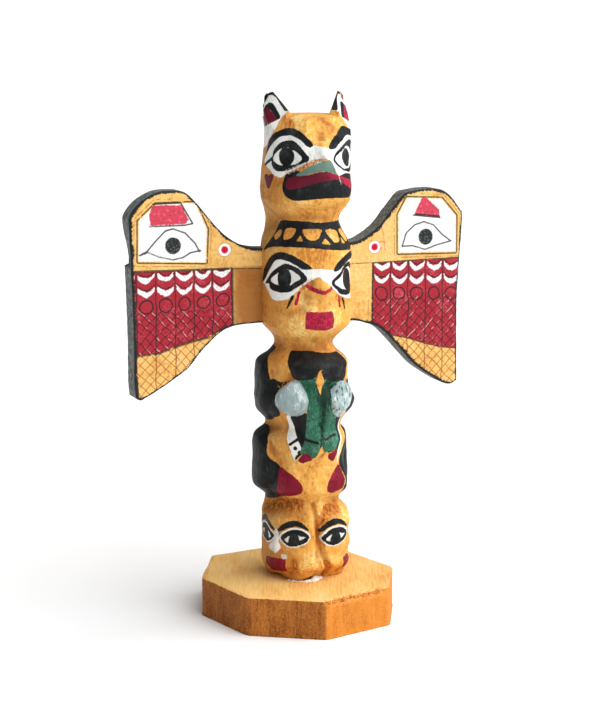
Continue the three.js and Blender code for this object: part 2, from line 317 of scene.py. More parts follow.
def groove_depth(groove, azimuth, z):
    _name, middle, down, up, front, side, back = groove
    turn = np.abs(azimuth)
    ahead = np.sin(np.radians(turn)) ** 2
    behind = smooth(turn, 90, 140)
    around = np.where(turn < 90, front * (1 - ahead) + side * ahead, side * (1 - behind) + back * behind)
    return around * bell(np.abs(z - middle) / np.where(z < middle, down, up))


def form_rise(form, azimuth, z):
    _name, at, middle, wide, high, rise, profile, sides = form
    total = 0
    for side in sides:
        across = wrapped(azimuth - twist_at(z) - side * at) / wide
        total = total + rise * profile(np.hypot(across, (z - middle) / high))
    return total


def ear_plane(z):
    """How far an ear's face, and the side of the head below it, stands from the axis."""
    return EAR_FACE - EAR_LEAN * (z - EAR_FOOT)


def head_slope(azimuth, z):
    """How far out the surface may stand where the head is cut back in front and below each ear."""
    reach = np.full(np.shape(azimuth), FAR)
    for turn, foot, distance, slope in HEAD_SLOPES:
        facing = np.cos(np.radians(wrapped(azimuth - turn)))
        plane = distance - slope * np.clip(z - foot, 0, None)
        if turn:
            plane = np.maximum(plane, ear_plane(z))
        reach = np.where(facing > 0.3, np.minimum(reach, plane / np.maximum(facing, 0.3)), reach)
    return np.where(z > SLOPES_FROM, reach, FAR)


def pole_radius(azimuth, z):
    radius = stock_radius(azimuth)
    for groove in GROOVES:
        radius = radius - groove_depth(groove, azimuth, z)
    for form in FORMS:
        radius = radius + form_rise(form, azimuth, z)
    return np.minimum(radius, head_slope(azimuth, z))


def ear_place(x, y):
    """Along an ear's face, outwards, and out from the axis; both ears alike."""
    turn = math.radians(EAR_TURN)
    along = np.abs(x) * math.cos(turn) + y * math.sin(turn)
    out = np.abs(x) * math.sin(turn) - y * math.cos(turn)
    return along, out


def ear_top(along, out):
    """The height of an ear's edge above its foot."""
    share = (along - EAR_INNER) / EAR_WIDTH
    profile = np.interp(share, (0, 0.55, 0.66, 0.9, 0.97, 1), (0, 0.84, 1, 0.93, 0.75, 0.3))
    return np.where((share > 0) & (share < 1) & (out > 3), profile * (EAR_TIP - EAR_FOOT), 0)


# ---------- marks of the knife ----------
# lines along which the knife tore the wood: the line, how far it spreads, and how deep it is
TORN = [
    (((-23, 32.4), (-15, 34.6), (-8, 34.4)), 2.0, 0.55),
    (((-0.2, 29.6), (2.4, 32.6), (6.6, 33.2)), 1.7, 0.45),
    (((-10.6, 130.9), (-5, 133.2), (-0.6, 134.7)), 0.9, 0.4),
    (((-6.4, 98.2), (-5.2, 99), (-3.8, 100)), 0.7, 0.4),
    (((-10, 91.2), (-6.4, 92.6)), 1.0, 0.1),
    (((-10.6, 14.4), (-8.6, 17.6), (-8, 15.2)), 1.2, 0.3),
    (((-13.4, 69.4), (-10.4, 70.6)), 0.8, 0.35),
    (((-10, 143.6), (-12, 146.4)), 1.1, 0.25),
    (((1.6, 16.6), (4.6, 13.6)), 1.3, 0.3),
    (((-14.6, 26), (-15.2, 23.6), (-15.9, 21)), 1.5, 0.16),
]
CLEFT = ((-2.6, 34), (-1.8, 29), (-0.6, 23), (0.4, 19), (1.8, 16), (3.6, 12))
JAW_CRACK = ((-2.9, 120.4), (-2.1, 118.8), (-1.6, 117.4))
KNOT = (8.0, 144.4)


def torn_share(s, z):
    share = np.zeros(np.shape(s))
    for line, spread, depth in TORN:
        away = stroke(line, 0)(s, z) / spread
        share = np.maximum(share, (1 - smooth(away, 0.45, 1.25)) * depth)
    return share


def knife_marks(s, z):
    """Small changes to the radius: flat cuts, fibres, torn wood, the cleft, a crack and a knot."""
    cuts = nearest_spot(s / 5.2 + 40, z / 4.1 + 9, 3)
    marks = 0.34 * (cuts**2 - 0.3)
    marks = marks + 0.05 * soft_noise(s * 1.1 + 60, z * 0.35, 4)
    marks = marks + 0.022 * soft_noise(s * 2.6 + 60, z * 0.5, 5)
    torn = torn_share(s, z)
    fibres = soft_noise(s * 1.5 + z * 0.7 + 90, z * 0.9 - s * 0.3 + 90, 6)
    fibres = fibres + 0.7 * soft_noise(s * 2.6 - z * 0.7 + 90, z * 1.9 + 30, 7)
    marks = marks + 1.5 * torn * (fibres - 0.7)
    marks = marks - 1.15 * bell(stroke(CLEFT, 0)(s, z) / 1.3)
    marks = marks - 0.3 * bell(stroke(JAW_CRACK, 0)(s, z) / 0.4)
    marks = marks - 0.5 * bell(np.hypot(s - KNOT[0], z - KNOT[1]) / 0.7)
    return marks


# ---------- what is painted on the pole ----------
def eye_holes(almond, pupil):
    """The white of an eye: an almond with the pupil left out."""
    inside, dark = patch(almond), spot(*pupil)
    return lambda x, y: without(inside(x, y), dark(x, y))


UPPER_LEFT_WHITE = eye_holes(
    [(-15.8, 134.3), (-14.2, 136.5), (-11.5, 137.9), (-8.2, 136.9), (-6, 134.8), (-7.7, 133.2),
     (-10.5, 132.7), (-13.2, 132.7)], (-11, 135.2, 2.4, 2.5))
UPPER_RIGHT_WHITE = eye_holes(
    [(3.2, 134.4), (5, 135.8), (7.6, 136.9), (11, 137.9), (14.2, 136.5), (15.8, 134.2),
     (13, 131.9), (9.5, 131.4), (6.3, 131.7), (4.2, 132.8)], (10.2, 134.6, 3, 2.4))
MIDDLE_LEFT_WHITE = eye_holes(
    [(-17.1, 99.7), (-14.2, 102), (-11.7, 103.5), (-8.7, 102.8), (-6.3, 101), (-8.5, 99.5),
     (-9.8, 98.6), (-13.3, 98.3)], (-11.8, 100.6, 2.15, 2.8))
MIDDLE_RIGHT_WHITE = eye_holes(
    [(3.8, 99.3), (6.2, 100.9), (9.5, 102.6), (12.6, 103.2), (15, 101.8), (17, 99.8), (14.5, 98),
     (11, 96.9), (8.3, 96.8), (5.6, 97.8)], (11, 99.6, 3, 3))

LOWER_EYE = [(-12.7, 24.7), (-10.5, 26.8), (-8.3, 27.5), (-5.8, 27.1), (-4, 25.4), (-4.9, 23.8),
             (-6.7, 22.9), (-8.9, 22.3), (-11, 22.9)]
LOWER_WHITES = [
    [(-11.5, 24.3), (-9.4, 25.9), (-9.9, 24.6), (-10.1, 23.4)],
    [(-7.5, 26.2), (-6.4, 25.6), (-4.9, 25.4), (-6, 24.5), (-6.9, 24.1), (-7.1, 25)],
]
LOWER_BROW = [(-13.5, 27.2), (-11.1, 29.3), (-8.5, 30.2), (-6, 29.4), (-4.2, 27.6), (-4.4, 27.2),
              (-7.4, 28.4), (-10.2, 27.8), (-13, 26.4)]
LOWER_RIM = [(-13.2, 25.1), (-10.6, 27.3), (-8, 28), (-5.2, 27.4), (-3.6, 25.5), (-4.8, 23.4),
             (-6.8, 22.5), (-8.9, 21.9), (-11.5, 22.6)]
LEFT_FACE = -14.3  # the middles of the two lower faces
RIGHT_FACE = 10.7


def lower_eyes(points):
    """The same shape on the four eyes of the two lower faces."""
    inner_right = [(s + 12.6, z) for s, z in points]
    return [
        patch(points),
        patch(mirrored(points, LEFT_FACE)),
        patch(inner_right),
        patch(mirrored(inner_right, RIGHT_FACE)),
    ]


# The shapes of each paint, mostly from the top of the pole down.
WHITE = [
    patch([(-20.8, 133.9), (-18.2, 136.8), (-15.3, 139.2), (-13, 140.9), (-11, 141.4), (-9, 141.2),
           (-6.7, 140.3), (-4.3, 138.4), (-2.9, 138.5), (-0.8, 138.1), (1.3, 137.7), (3.9, 137.7),
           (5.8, 139.1), (8.8, 140.4), (12.6, 140.9), (16, 141), (20, 138.5), (21, 133), (18, 130),
           (13, 129.5), (8.5, 129.9), (4.5, 130), (2.7, 131.2), (1.9, 132.8), (1.2, 134.2),
           (-0.4, 134.8), (-4, 134), (-7, 132.2), (-10, 130.9), (-12.6, 129.3), (-15.3, 130),
           (-17.7, 131.5), (-20, 132.4)]),
    patch([(-22.3, 98.8), (-18.8, 101.2), (-16.8, 103.6), (-14.7, 105.6), (-12.4, 106.2),
           (-9.5, 105.6), (-5.9, 103.8), (-3.2, 103.5), (-0.5, 103.5), (4, 102.9), (7, 104),
           (9.1, 104.4), (13, 105.5), (17, 104.5), (20, 101.4), (21.5, 98), (19.5, 95.5),
           (15, 94), (11, 93.9), (7.2, 95), (3.6, 97.2), (1.2, 99.3), (-0.3, 100.2), (-1.4, 101.2),
           (-3.6, 100.1), (-5.9, 98.6), (-8.4, 96.4), (-11, 94.6), (-15.5, 94.2), (-18, 96.4),
           (-21, 98.3)]),
    patch([(-10.9, 60.9), (-9.4, 61.1), (-8.9, 57.1), (-7.5, 54.3), (-7, 53.3), (-6.4, 51.2),
           (-8.4, 47.7), (-9.8, 51), (-10.3, 52.6), (-11.1, 54.5), (-11.2, 57.5)]),
    patch([(7.5, 60), (8.1, 59.6), (7.6, 55), (6.3, 48.5), (5.7, 46.2), (5.8, 49.5), (7, 55)]),
    patch([(-15.5, 26.5), (-13.8, 26.9), (-13.2, 24.6), (-13.3, 23.5), (-12.7, 21.8), (-13.8, 20.1),
           (-14.8, 19.8), (-17.5, 20.1), (-18.4, 21), (-16.6, 22.8), (-15.6, 24.2)]),
    patch([(-12.7, 19.6), (-11.2, 19.7), (-10.8, 18.6), (-12.2, 18.2)]),
    spot(8.3, 45.6, 0.3, 0.45),
    *lower_eyes(LOWER_RIM),
]
WHITE_LINES = [
    UPPER_LEFT_WHITE,
    UPPER_RIGHT_WHITE,
    MIDDLE_LEFT_WHITE,
    MIDDLE_RIGHT_WHITE,
    stroke([(3.5, 130.5), (4.2, 128.8), (5.4, 127.2)], 0.5),
    *[shape for points in LOWER_WHITES for shape in lower_eyes(points)],
]
GREY = [
    patch([(-9.1, 71.3), (-7.1, 71.4), (-5.3, 68.8), (-4.4, 66), (-4.9, 63), (-6.7, 61.3),
           (-9, 61.1), (-11.8, 61.8), (-14, 63.8), (-14.2, 66.5), (-13, 68.7), (-11, 69.9)]),
    patch([(4.8, 70.8), (2.8, 69.4), (1.9, 68.1), (1.6, 65.6), (2.4, 62.5), (4.8, 60.4), (6.7, 59.8),
           (9.2, 61.2), (11, 64), (11, 67), (9, 69.5), (6.8, 70.6)]),
]
GREEN = [
    patch([(-7.2, 130.7), (-3.6, 132.9), (-1.7, 134.3), (-0.1, 134.1), (1.5, 134.3), (2.2, 132.5),
           (2.9, 130.7), (3.4, 130), (0, 131.3), (-2.6, 131), (-5.1, 130.2), (-7.4, 129.9)]),
    patch([(-7.1, 71.5), (-4.3, 71.9), (-3, 72.3), (-1.6, 73), (1.8, 71), (5, 70.6), (2.6, 69.2),
           (1.7, 66), (2.4, 62.3), (4.6, 60.5), (5.9, 56), (5.6, 51.2), (4, 50.3), (1, 50.2),
           (0, 51), (-0.7, 52.2), (-1.7, 49.3), (-3.1, 48.4), (-5, 49.8), (-6.8, 50), (-6.3, 51.4),
           (-5.3, 54.4), (-4.9, 59.4), (-4.6, 63.9), (-4.4, 66.2), (-6.3, 69.8)]),
]
BARS = [stroke([(-5.4, 54.5), (-1.9, 53.4)], 1.1), stroke([(0.4, 54.2), (4.9, 54.9)], 1.0)]
MAROON = [
    patch([(-10.2, 129.1), (-7.4, 129.8), (-5.1, 130.1), (-2.6, 130.9), (0, 131.2), (3.4, 130),
           (4.1, 129.9), (9, 128.6), (13.5, 127.6), (13.6, 126.2), (10.5, 125.7), (6.7, 127.2),
           (3.4, 128.8), (0.2, 128.6), (-2.9, 127.8), (-6.5, 126.6), (-9.9, 126.1), (-10.6, 127.5)]),
    patch([(-20.6, 129.4), (-19.3, 130), (-17.9, 129.6), (-16.6, 130.1), (-15.4, 129.7), (-16, 128),
           (-17.9, 125.8), (-20.2, 127.8)]),
    stroke([(-4.8, 98.8), (-3.7, 98.2), (-2.7, 97.7), (-0.5, 96.9), (0.4, 97.3), (2.3, 98)],
           (0.8, 1.3, 1.2, 1.1, 1, 1.1)),
    stroke([(-6.9, 97), (-7.9, 93.6)], (0.7, 0.9)),
    stroke([(5.9, 95.1), (6.3, 92.2)], (0.6, 0.7)),
    patch([(-5, 91.4), (2.4, 91.3), (2.9, 90.6), (3.1, 86.3), (0.4, 85.7), (-5.2, 86.4)], sharp=True),
    patch([(-7.4, 47.8), (-6.5, 49.3), (-5.2, 50.1), (-3.9, 49.4), (-3, 48), (-4.5, 47.5), (-6.1, 47)]),
    patch([(2.2, 48.9), (5.6, 50.5), (5.4, 48.6), (4, 47)]),
    patch([(-13.4, 45.3), (-10.3, 44.6), (-8, 43), (-6.4, 41.2), (-5.9, 39.7), (-6.3, 38.4),
           (-8.4, 37.5), (-12, 36.8), (-15.4, 36.2), (-13.8, 40)]),
    patch([(6.2, 45.9), (6.9, 43), (7.2, 40.6), (6.2, 39), (4.8, 38.4), (3.1, 37.8), (1.4, 38.8),
           (1.5, 40.3), (2.2, 41.9), (4.2, 44.4)]),
    patch([(-20.2, 17.6), (-14.6, 18.3), (-11.2, 18.2), (-11.2, 14.4), (-15.9, 13.5), (-20.2, 13.2)],
          sharp=True),
    patch([(9.5, 17.2), (12.3, 17.6), (14.5, 17), (14.6, 14.6), (12, 13.9), (9.9, 14.3)]),
]
BLACK = [
    patch([(-20.4, 133.6), (-19.3, 136.5), (-17.4, 139.6), (-15, 141.7), (-12.5, 142.9), (-10, 143.2),
           (-6.8, 142.3), (-4.7, 140.7), (-2.9, 138.6), (-4.3, 138), (-6.7, 140), (-9, 141),
           (-11, 141.1), (-13, 140.6), (-15.3, 139), (-18.2, 136.6), (-20, 134.4)]),
    patch([(-16, 134.2), (-15.4, 136.6), (-13.4, 138.6), (-11.5, 139.6), (-8.7, 139.7), (-6.7, 138.2),
           (-5.2, 136.4), (-4, 134.7), (-5.4, 133.3), (-7.7, 132.4), (-10.1, 131.4), (-13.4, 131),
           (-15.3, 131.8), (-16.3, 133.2)]),
    stroke([(-19.9, 132.5), (-16, 134.5)], 0.9),
    patch([(1.5, 137.7), (4.3, 141.2), (9.5, 143.1), (13, 143.2), (17, 141.5), (20, 137), (20.4, 134.2),
           (18.2, 136.8), (15.3, 139.4), (12.6, 140.8), (8.8, 140.3), (5.8, 139), (4.1, 137.4)]),
    patch([(2.6, 134.3), (4.9, 136.7), (8, 138.5), (11.5, 139.6), (14, 138.8), (15.8, 136.6),
           (16.4, 134), (15, 131.4), (12, 130.4), (8.6, 130.8), (6, 131.3), (3.6, 132.6)]),
    patch([(-7.2, 131.4), (-10.1, 130.8), (-11.6, 128.8), (-11.7, 126.6), (-11, 124.7), (-9.7, 123.7),
           (-7.7, 123), (-2.8, 123.4), (3, 123.6), (8.4, 123.3), (12.2, 124.4), (14.2, 126.6),
           (13.8, 128.8), (11.5, 129.9), (7.8, 130.2), (4, 129.9), (3.2, 130.1), (0, 131.2),
           (-2.6, 130.9), (-5.1, 130.1)]),
    patch([(-22.8, 98.9), (-21.9, 101), (-20.6, 103), (-17.9, 105.7), (-14.8, 107.6), (-12.1, 108.2),
           (-8.6, 107.4), (-5.7, 105.8), (-3.4, 104.1), (-3.5, 103.5), (-5.9, 103.5), (-7.7, 104.5),
           (-9.5, 105.5), (-12.4, 106.1), (-14.7, 105.5), (-16.8, 103.5), (-18.8, 101.2),
           (-21.7, 98.8)]),
    patch([(-20.3, 98.5), (-17.5, 101), (-15.4, 102.7), (-12.8, 104.3), (-10.7, 105), (-8.4, 104.3),
           (-6.3, 103), (-4.6, 100.9), (-5.9, 99.3), (-8, 98), (-10.1, 96.8), (-13.5, 96.6),
           (-16.8, 97.2), (-17.8, 98.6)]),
    patch([(3.6, 103), (5.4, 105.4), (7.6, 106.8), (11, 107.6), (14.5, 107.2), (18, 105.2), (21, 102),
           (22.3, 99), (19, 101.6), (15.5, 104.4), (12, 105.4), (9.1, 104.2), (4.8, 102.5)]),
    patch([(2.7, 99.3), (4.6, 101.2), (6.6, 102.4), (9.5, 104.2), (12.5, 104.5), (15.5, 103),
           (18.5, 100.5), (20, 98.6), (17, 97), (14, 95.6), (10.5, 95.2), (7, 95.6), (4.6, 97.2)]),
    stroke([(-8.8, 95.6), (-10.6, 92.2)], (1.0, 0.5)),
    stroke([(7.3, 94.4), (8.4, 91.4)], (0.7, 0.6)),
    patch([(-36, 77), (-25, 79.4), (-21.6, 77.5), (-18.5, 75.5), (-17, 72.5), (-16.2, 70.7), (-14, 70.4),
           (-14.5, 67.4), (-14, 64.2), (-13, 61), (-18, 59.3), (-25.6, 57.5), (-34, 58.5)]),
    patch([(12, 78), (11.3, 74), (11.5, 70.8), (9.5, 70), (9, 64), (10, 60.5), (20, 57.5), (34, 58.5),
           (36, 77), (24, 79.5), (15, 79)]),
    patch([(-11.6, 79.1), (-8.1, 79.4), (-3.4, 79.5), (-0.7, 79.2), (5, 78.6), (9.5, 78.4), (10.3, 76.5),
           (9.3, 74), (8.8, 71.5), (5.7, 70.6), (3, 70.3), (1.7, 70.9), (0.6, 73), (-0.6, 74.8),
           (-1.6, 74.3), (-2.6, 72.6), (-4.3, 71.8), (-7, 71.5), (-8.7, 72.2), (-9.8, 74.6),
           (-11, 76.9)]),
    patch([(-9.4, 61.1), (-4.8, 62.3), (-4.9, 57), (-5.2, 54.5), (-5.8, 52), (-6.2, 50), (-7.4, 48.6),
           (-8.4, 47.9), (-8.2, 49), (-6.4, 51.2), (-7.2, 53.5), (-7.6, 54.4), (-8.9, 57.2)]),
    stroke([(-9.9, 52.5), (-7.4, 54.2)], 0.8),
    spot(-8.2, 51.5, 0.62, 0.62),
    patch([(4.9, 60.3), (7.2, 60.3), (6.9, 55), (5.9, 50.3), (5.3, 50.5), (5.7, 55)]),
    patch([(-36, 54), (-27, 56), (-22, 55.6), (-18.6, 53.3), (-16.9, 48.4), (-14.8, 46.4), (-13.3, 45.4),
           (-13.6, 41), (-15.4, 36.2), (-21.8, 34.6), (-26, 34), (-34, 36)]),
    patch([(12, 56), (9.5, 53), (7.6, 49.5), (6.4, 46.2), (7.2, 43), (7.6, 40.5), (6.5, 38.6), (8, 37),
           (14, 35.6), (26, 34), (34, 36), (36, 54), (24, 56.5), (16, 57)]),
    patch([(-16.5, 71), (-12.5, 70.6), (-9.5, 71.3), (-8.6, 70.8), (-11, 68.9), (-13.5, 66.5), (-15, 66)]),
    patch([(-0.9, 74.8), (0.6, 73.6), (2.4, 71.4), (1.2, 69), (-0.6, 69.6), (-1, 72)]),
    stroke([(-7, 50.3), (-5, 50.5), (-3.4, 49.2)], 1.1),
    stroke([(2.5, 50.3), (5.5, 51)], 1.0),
    *BARS,
    *lower_eyes(LOWER_BROW),
    *lower_eyes(LOWER_EYE),
]

COLLAR = patch([(-17.2, 116.3), (-10, 116.9), (-4.6, 116.7), (1.2, 116.3), (15.9, 116), (17.9, 111.6),
                (20.9, 107.8), (16, 108), (11, 108.1), (5, 108.5), (-2.6, 109.4), (-8.8, 109.7),
                (-16.6, 109.3), (-21.2, 107.8), (-18.7, 111.2)])
COLLAR_CELLS = [
    patch([(-17.6, 112.4), (-16.3, 114), (-14.7, 113.9), (-14.6, 112.3), (-16, 111.4)]),
    patch([(-12.9, 114.5), (-8.9, 114.7), (-9.2, 113), (-10.5, 111.9), (-12, 111.6), (-13, 112.4)]),
    patch([(-6, 114.5), (0.5, 114.5), (0.2, 113.2), (-1, 112), (-2.8, 111.5), (-4.6, 112), (-5.7, 113.2)]),
    patch([(2.6, 114.2), (7.3, 113.9), (7.5, 112), (6.8, 111), (4.9, 110.6), (3.6, 111.8)]),
    patch([(9.5, 113.9), (13.6, 113.8), (13.3, 112), (12, 110.7), (10.3, 110.6), (9.4, 112)]),
    patch([(15, 113.7), (16.2, 113.6), (17.2, 111.4), (16.5, 110.4), (15.2, 111.3)]),
    patch([(-6.9, 113), (-8.1, 111.3), (-5.8, 111.3)], sharp=True),
    patch([(1.5, 112), (-0.3, 110.6), (3, 110.2)], sharp=True),
    patch([(8.4, 112), (7.4, 110.2), (9.4, 110.2)], sharp=True),
    patch([(14.3, 112), (13.4, 110.2), (15.1, 110)], sharp=True),
]
DIAMOND = patch([(-1.2, 74.4), (-0.3, 71.6), (-1.2, 67.4), (-2.6, 71.5)], sharp=True)
TORN_STRIP = stroke([(-10.4, 131), (-5, 133.3), (-0.4, 134.9)], (0.5, 0.9, 0.5))
# where the green figure gets painted shade, in its crease down the middle
CREASE_SHADE_SHAPES = [
    patch([(-2.3, 71), (-2.4, 67.7), (-1.6, 64.9), (0.3, 61.9), (1.6, 65.9), (2.5, 70.2), (0.3, 72.4),
           (-0.3, 70)]),
    stroke([(0, 63), (-0.4, 58), (-0.6, 53)], 0.8),
]
# stains along the torn wood and the cleft and other darker marks, and painted shade at the foot, under the
# upper jaw and under the middle head's chin
STAINS_AND_SHADE = [
    stroke([(-21, 31), (-13, 32.4), (-6, 31.6)], 2.4),
    stroke([(-0.6, 28.4), (1.5, 31), (6, 31.6)], 1.6),
    stroke(CLEFT, 0.5),
    stroke([(-9.6, 14), (-8.4, 18)], 2),
    stroke([(-14.4, 22), (-13, 17)], 1),
    stroke([(-20, 11.4), (-10, 11.4)], 0.8),
    stroke([(-13, 147.6), (-12, 144)], 1.4),
    stroke([(1, 145.4), (4.4, 143.2)], 1.0),
    stroke([(-23.6, 121.5), (-18, 117.2), (-6, 118), (4, 117.2)], 1.0),
    stroke([(-9, 79.8), (4, 80.4)], 1.2),
    stroke([(-12.4, 58.6), (-9.8, 52)], 1.0),
    stroke([(-6, 92), (-10, 90.4)], 1.4),
    stroke([(-5.6, 97.4), (-4, 94)], 1.0),
]

# ---------- what is painted on the ears, by (a, z) ----------
EAR_WHITE = [(1, 148.1), (3.4, 146.2), (4.9, 142.6), (7.2, 139.4), (9, 137.6), (15, 137), (15, 155),
             (3, 155)]
EAR_DARK = [(8.1, 150), (6.7, 149.5), (5, 147.6), (3.9, 146.1), (4.7, 145.3), (9.9, 142.9), (10.2, 146),
            (9.3, 148.8)]
EAR_RED = [(8.7, 148.9), (7.4, 147.9), (5.7, 146.5), (4.8, 145.4), (9.8, 143.1), (9.8, 146)]
EAR_PAINT_END = 25.6  # the paint below the ears goes this far round, in s
EAR_PAINT_FROM = 136.5  # and this far down
BROW_END = 9.0  # nearer the middle than this, in s, the paint is the head's and not the ears'
INNER_EDGE_TO = 9.6  # the black along an ear's edge ends at this a
OUTER_EDGE = 10.1  # a black line runs along this a
OUTER_EDGE_FROM = 147.4  # above this height


def paint_pole(s, z, along, on_wall):
    """The signed distance of each colour, at every point of the pole."""
    shapes = {"white": WHITE, "grey": GREY, "green": GREEN, "maroon": MAROON, "black": BLACK}
    paint = {colour: union(drawn, s, z) for colour, drawn in shapes.items()}
    collar = without(COLLAR(s, z), *[cell(s, z) for cell in COLLAR_CELLS])
    paint["black"] = np.minimum(paint["black"], collar)
    lines, bare = union(WHITE_LINES, s, z), DIAMOND(s, z)
    for colour in ("grey", "green", "maroon", "black"):
        paint[colour] = without(paint[colour], lines + 0.12, TORN_STRIP(s, z))
    paint["white"] = np.minimum(paint["white"], lines)
    paint["green"] = without(paint["green"], union(BARS, s, z) + 0.15)
    for colour in paint:
        paint[colour] = without(paint[colour], bare)

    on_ear = (z > EAR_PAINT_FROM) & (np.abs(s) > BROW_END)
    edge = EAR_FOOT + ear_top(along, FAR) - z - 0.5 - 0.7 * smooth(z, EAR_TIP - 1.5, EAR_TIP - 0.4)
    above = np.where((z > EAR_FOOT + 0.4) & (along < INNER_EDGE_TO), edge, FAR)
    outer = np.where(z > OUTER_EDGE_FROM, np.abs(along - OUTER_EDGE) - 0.35, FAR)
    red = patch(EAR_RED, sharp=True)(along, z)
    dark = without(patch(EAR_DARK)(along, z), red + 0.1)
    black = np.minimum(np.minimum(dark, above), outer)
    ear = {"white": patch(EAR_WHITE)(along, z), "black": black, "maroon": red}
    end = np.abs(s) - EAR_PAINT_END - 0.5 * soft_noise(z * 0.8 + 3, z * 0 + 5, 8)
    for colour, distance in ear.items():
        distance = np.maximum(distance, end)
        paint[colour] = np.where(on_ear, np.minimum(paint[colour], distance), paint[colour])
    for colour in paint:
        paint[colour] = np.where(on_wall, paint[colour], FAR)
    # the green's painted shade in its crease
    paint["dark"] = union(CREASE_SHADE_SHAPES, s, z)
    # stains, and painted shade at the foot and under the two chins
    paint["stain_and_shade"] = union(STAINS_AND_SHADE, s, z)
    return paint


# ---------- meshes ----------
def corners_of(grid):
    return np.stack([grid[:-1, :-1], grid[:-1, 1:], grid[1:, 1:], grid[1:, :-1]], -1).reshape(-1, 4)


def sheet(numbers, places):
    """The quads over a grid of point numbers, with each corner's place on the baked map."""
    order = np.arange(numbers.size).reshape(numbers.shape)
    return corners_of(numbers), places.reshape(-1, 2)[corners_of(order)]


def fan(tip, ring, tip_place, places):
    """The triangles from a row of points to one point."""
    faces = np.stack([ring[:-1], ring[1:], np.full(len(ring) - 1, tip)], -1)
    tips = np.repeat(np.array([tip_place]), len(ring) - 1, 0)
    return faces, np.stack([places[:-1], places[1:], tips], 1)


def closed(grid):
    return np.concatenate([grid, grid[:, :1]], 1)


def spread(across, up):
    """Places on the baked map for a grid, from those of its columns and those of its rows."""
    return np.stack(np.broadcast_arrays(across[None, :], up[:, None]), -1)


def flipped(faces, places):
    return faces[:, ::-1], places[:, ::-1]


def mesh_object(name, points, parts, material, values):
    """A smooth mesh from sheets and fans, with the numbers that its material reads on its points."""
    mesh = bpy.data.meshes.new(name)
    faces = [face for quads, _places in parts for face in quads.tolist()]
    mesh.from_pydata((np.asarray(points) * MM).tolist(), [], faces)
    layer = mesh.uv_layers.new(name="OFBake")
    places = np.concatenate([spots.reshape(-1, 2) for _quads, spots in parts])
    layer.data.foreach_set("uv", places.astype(np.float32).ravel())
    for key, numbers in values.items():
        attribute = mesh.attributes.new(key, "FLOAT", "POINT")
        attribute.data.foreach_set("value", np.asarray(numbers, np.float32).ravel())
    mesh.update()
    mesh.shade_smooth()
    mesh.materials.append(material)
    piece = bpy.data.objects.new(name, mesh)
    bpy.context.scene.collection.objects.link(piece)
    return piece


# ---------- the pole ----------
POLE_COLUMNS = 256
POLE_ROWS = 344
CROWN_SHARES = np.concatenate([np.linspace(0.02, 0.46, 24), np.linspace(0.55, 0.94, 6)])
FRONT_CROWDING = 0.34
STRETCH_FROM = 140.0
HEAD_EDGE = SHOULDER - 0.1
FOOT_GAP = 1.2  # how far the pole's foot is off the base, beside the cleft
FOOT_GAP_AT = -11.0  # the azimuth of the gap's middle
FOOT_ROWS, FOOT_SHADE = 8, 0.12  # the pole's lowest rows of points get this much painted shade
TOP_ROWS = 10  # and its highest ones none
LESS_SHADED_NECKS = ((81, 11), (117.5, 6))  # their middles and half heights


def pole_grid():
    """Columns round the pole and rows up it; the top rows rise to follow the ears' edges."""
    turn = np.arange(POLE_COLUMNS) / POLE_COLUMNS * 2 - 1
    azimuth = 180 * (turn - FRONT_CROWDING / np.pi * np.sin(np.pi * turn))
    rim = np.full(POLE_COLUMNS, HEAD_EDGE)
    for _ in range(4):
        radius = pole_radius(azimuth, rim)
        ear = ear_top(*ear_place(*around_axis(azimuth, radius)))
        rim = np.where(ear > 0, np.maximum(EAR_FOOT + ear, HEAD_EDGE), HEAD_EDGE)
    rows = np.linspace(POLE_FOOT, EAR_FOOT, POLE_ROWS)
    share = np.clip((rows - STRETCH_FROM) / (EAR_FOOT - STRETCH_FROM), 0, 1)[:, None]
    z = np.where(share > 0, STRETCH_FROM + share * (rim[None, :] - STRETCH_FROM), rows[:, None])
    return np.repeat(azimuth[None, :], POLE_ROWS, 0), z


def crown_height(x, y, share):
    """The top of the head, with the ears standing on it."""
    along, out = ear_place(x, y)
    head = HEAD_EDGE + CROWN_RISE * (1 - share**2.4)
    thick = smooth(ear_plane(EAR_FOOT + 3) - out, EAR_THICKNESS + 0.6, EAR_THICKNESS)
    ear = EAR_FOOT + ear_top(along, out)
    return np.where(ear > EAR_FOOT, head + np.maximum(ear - head, 0) * thick, head)


def in_necks(z):
    """How far a height is in one of the two necks, which get less painted shade than the other hollows."""
    return np.maximum(*[bell((z - middle) / reach) for middle, reach in LESS_SHADED_NECKS])


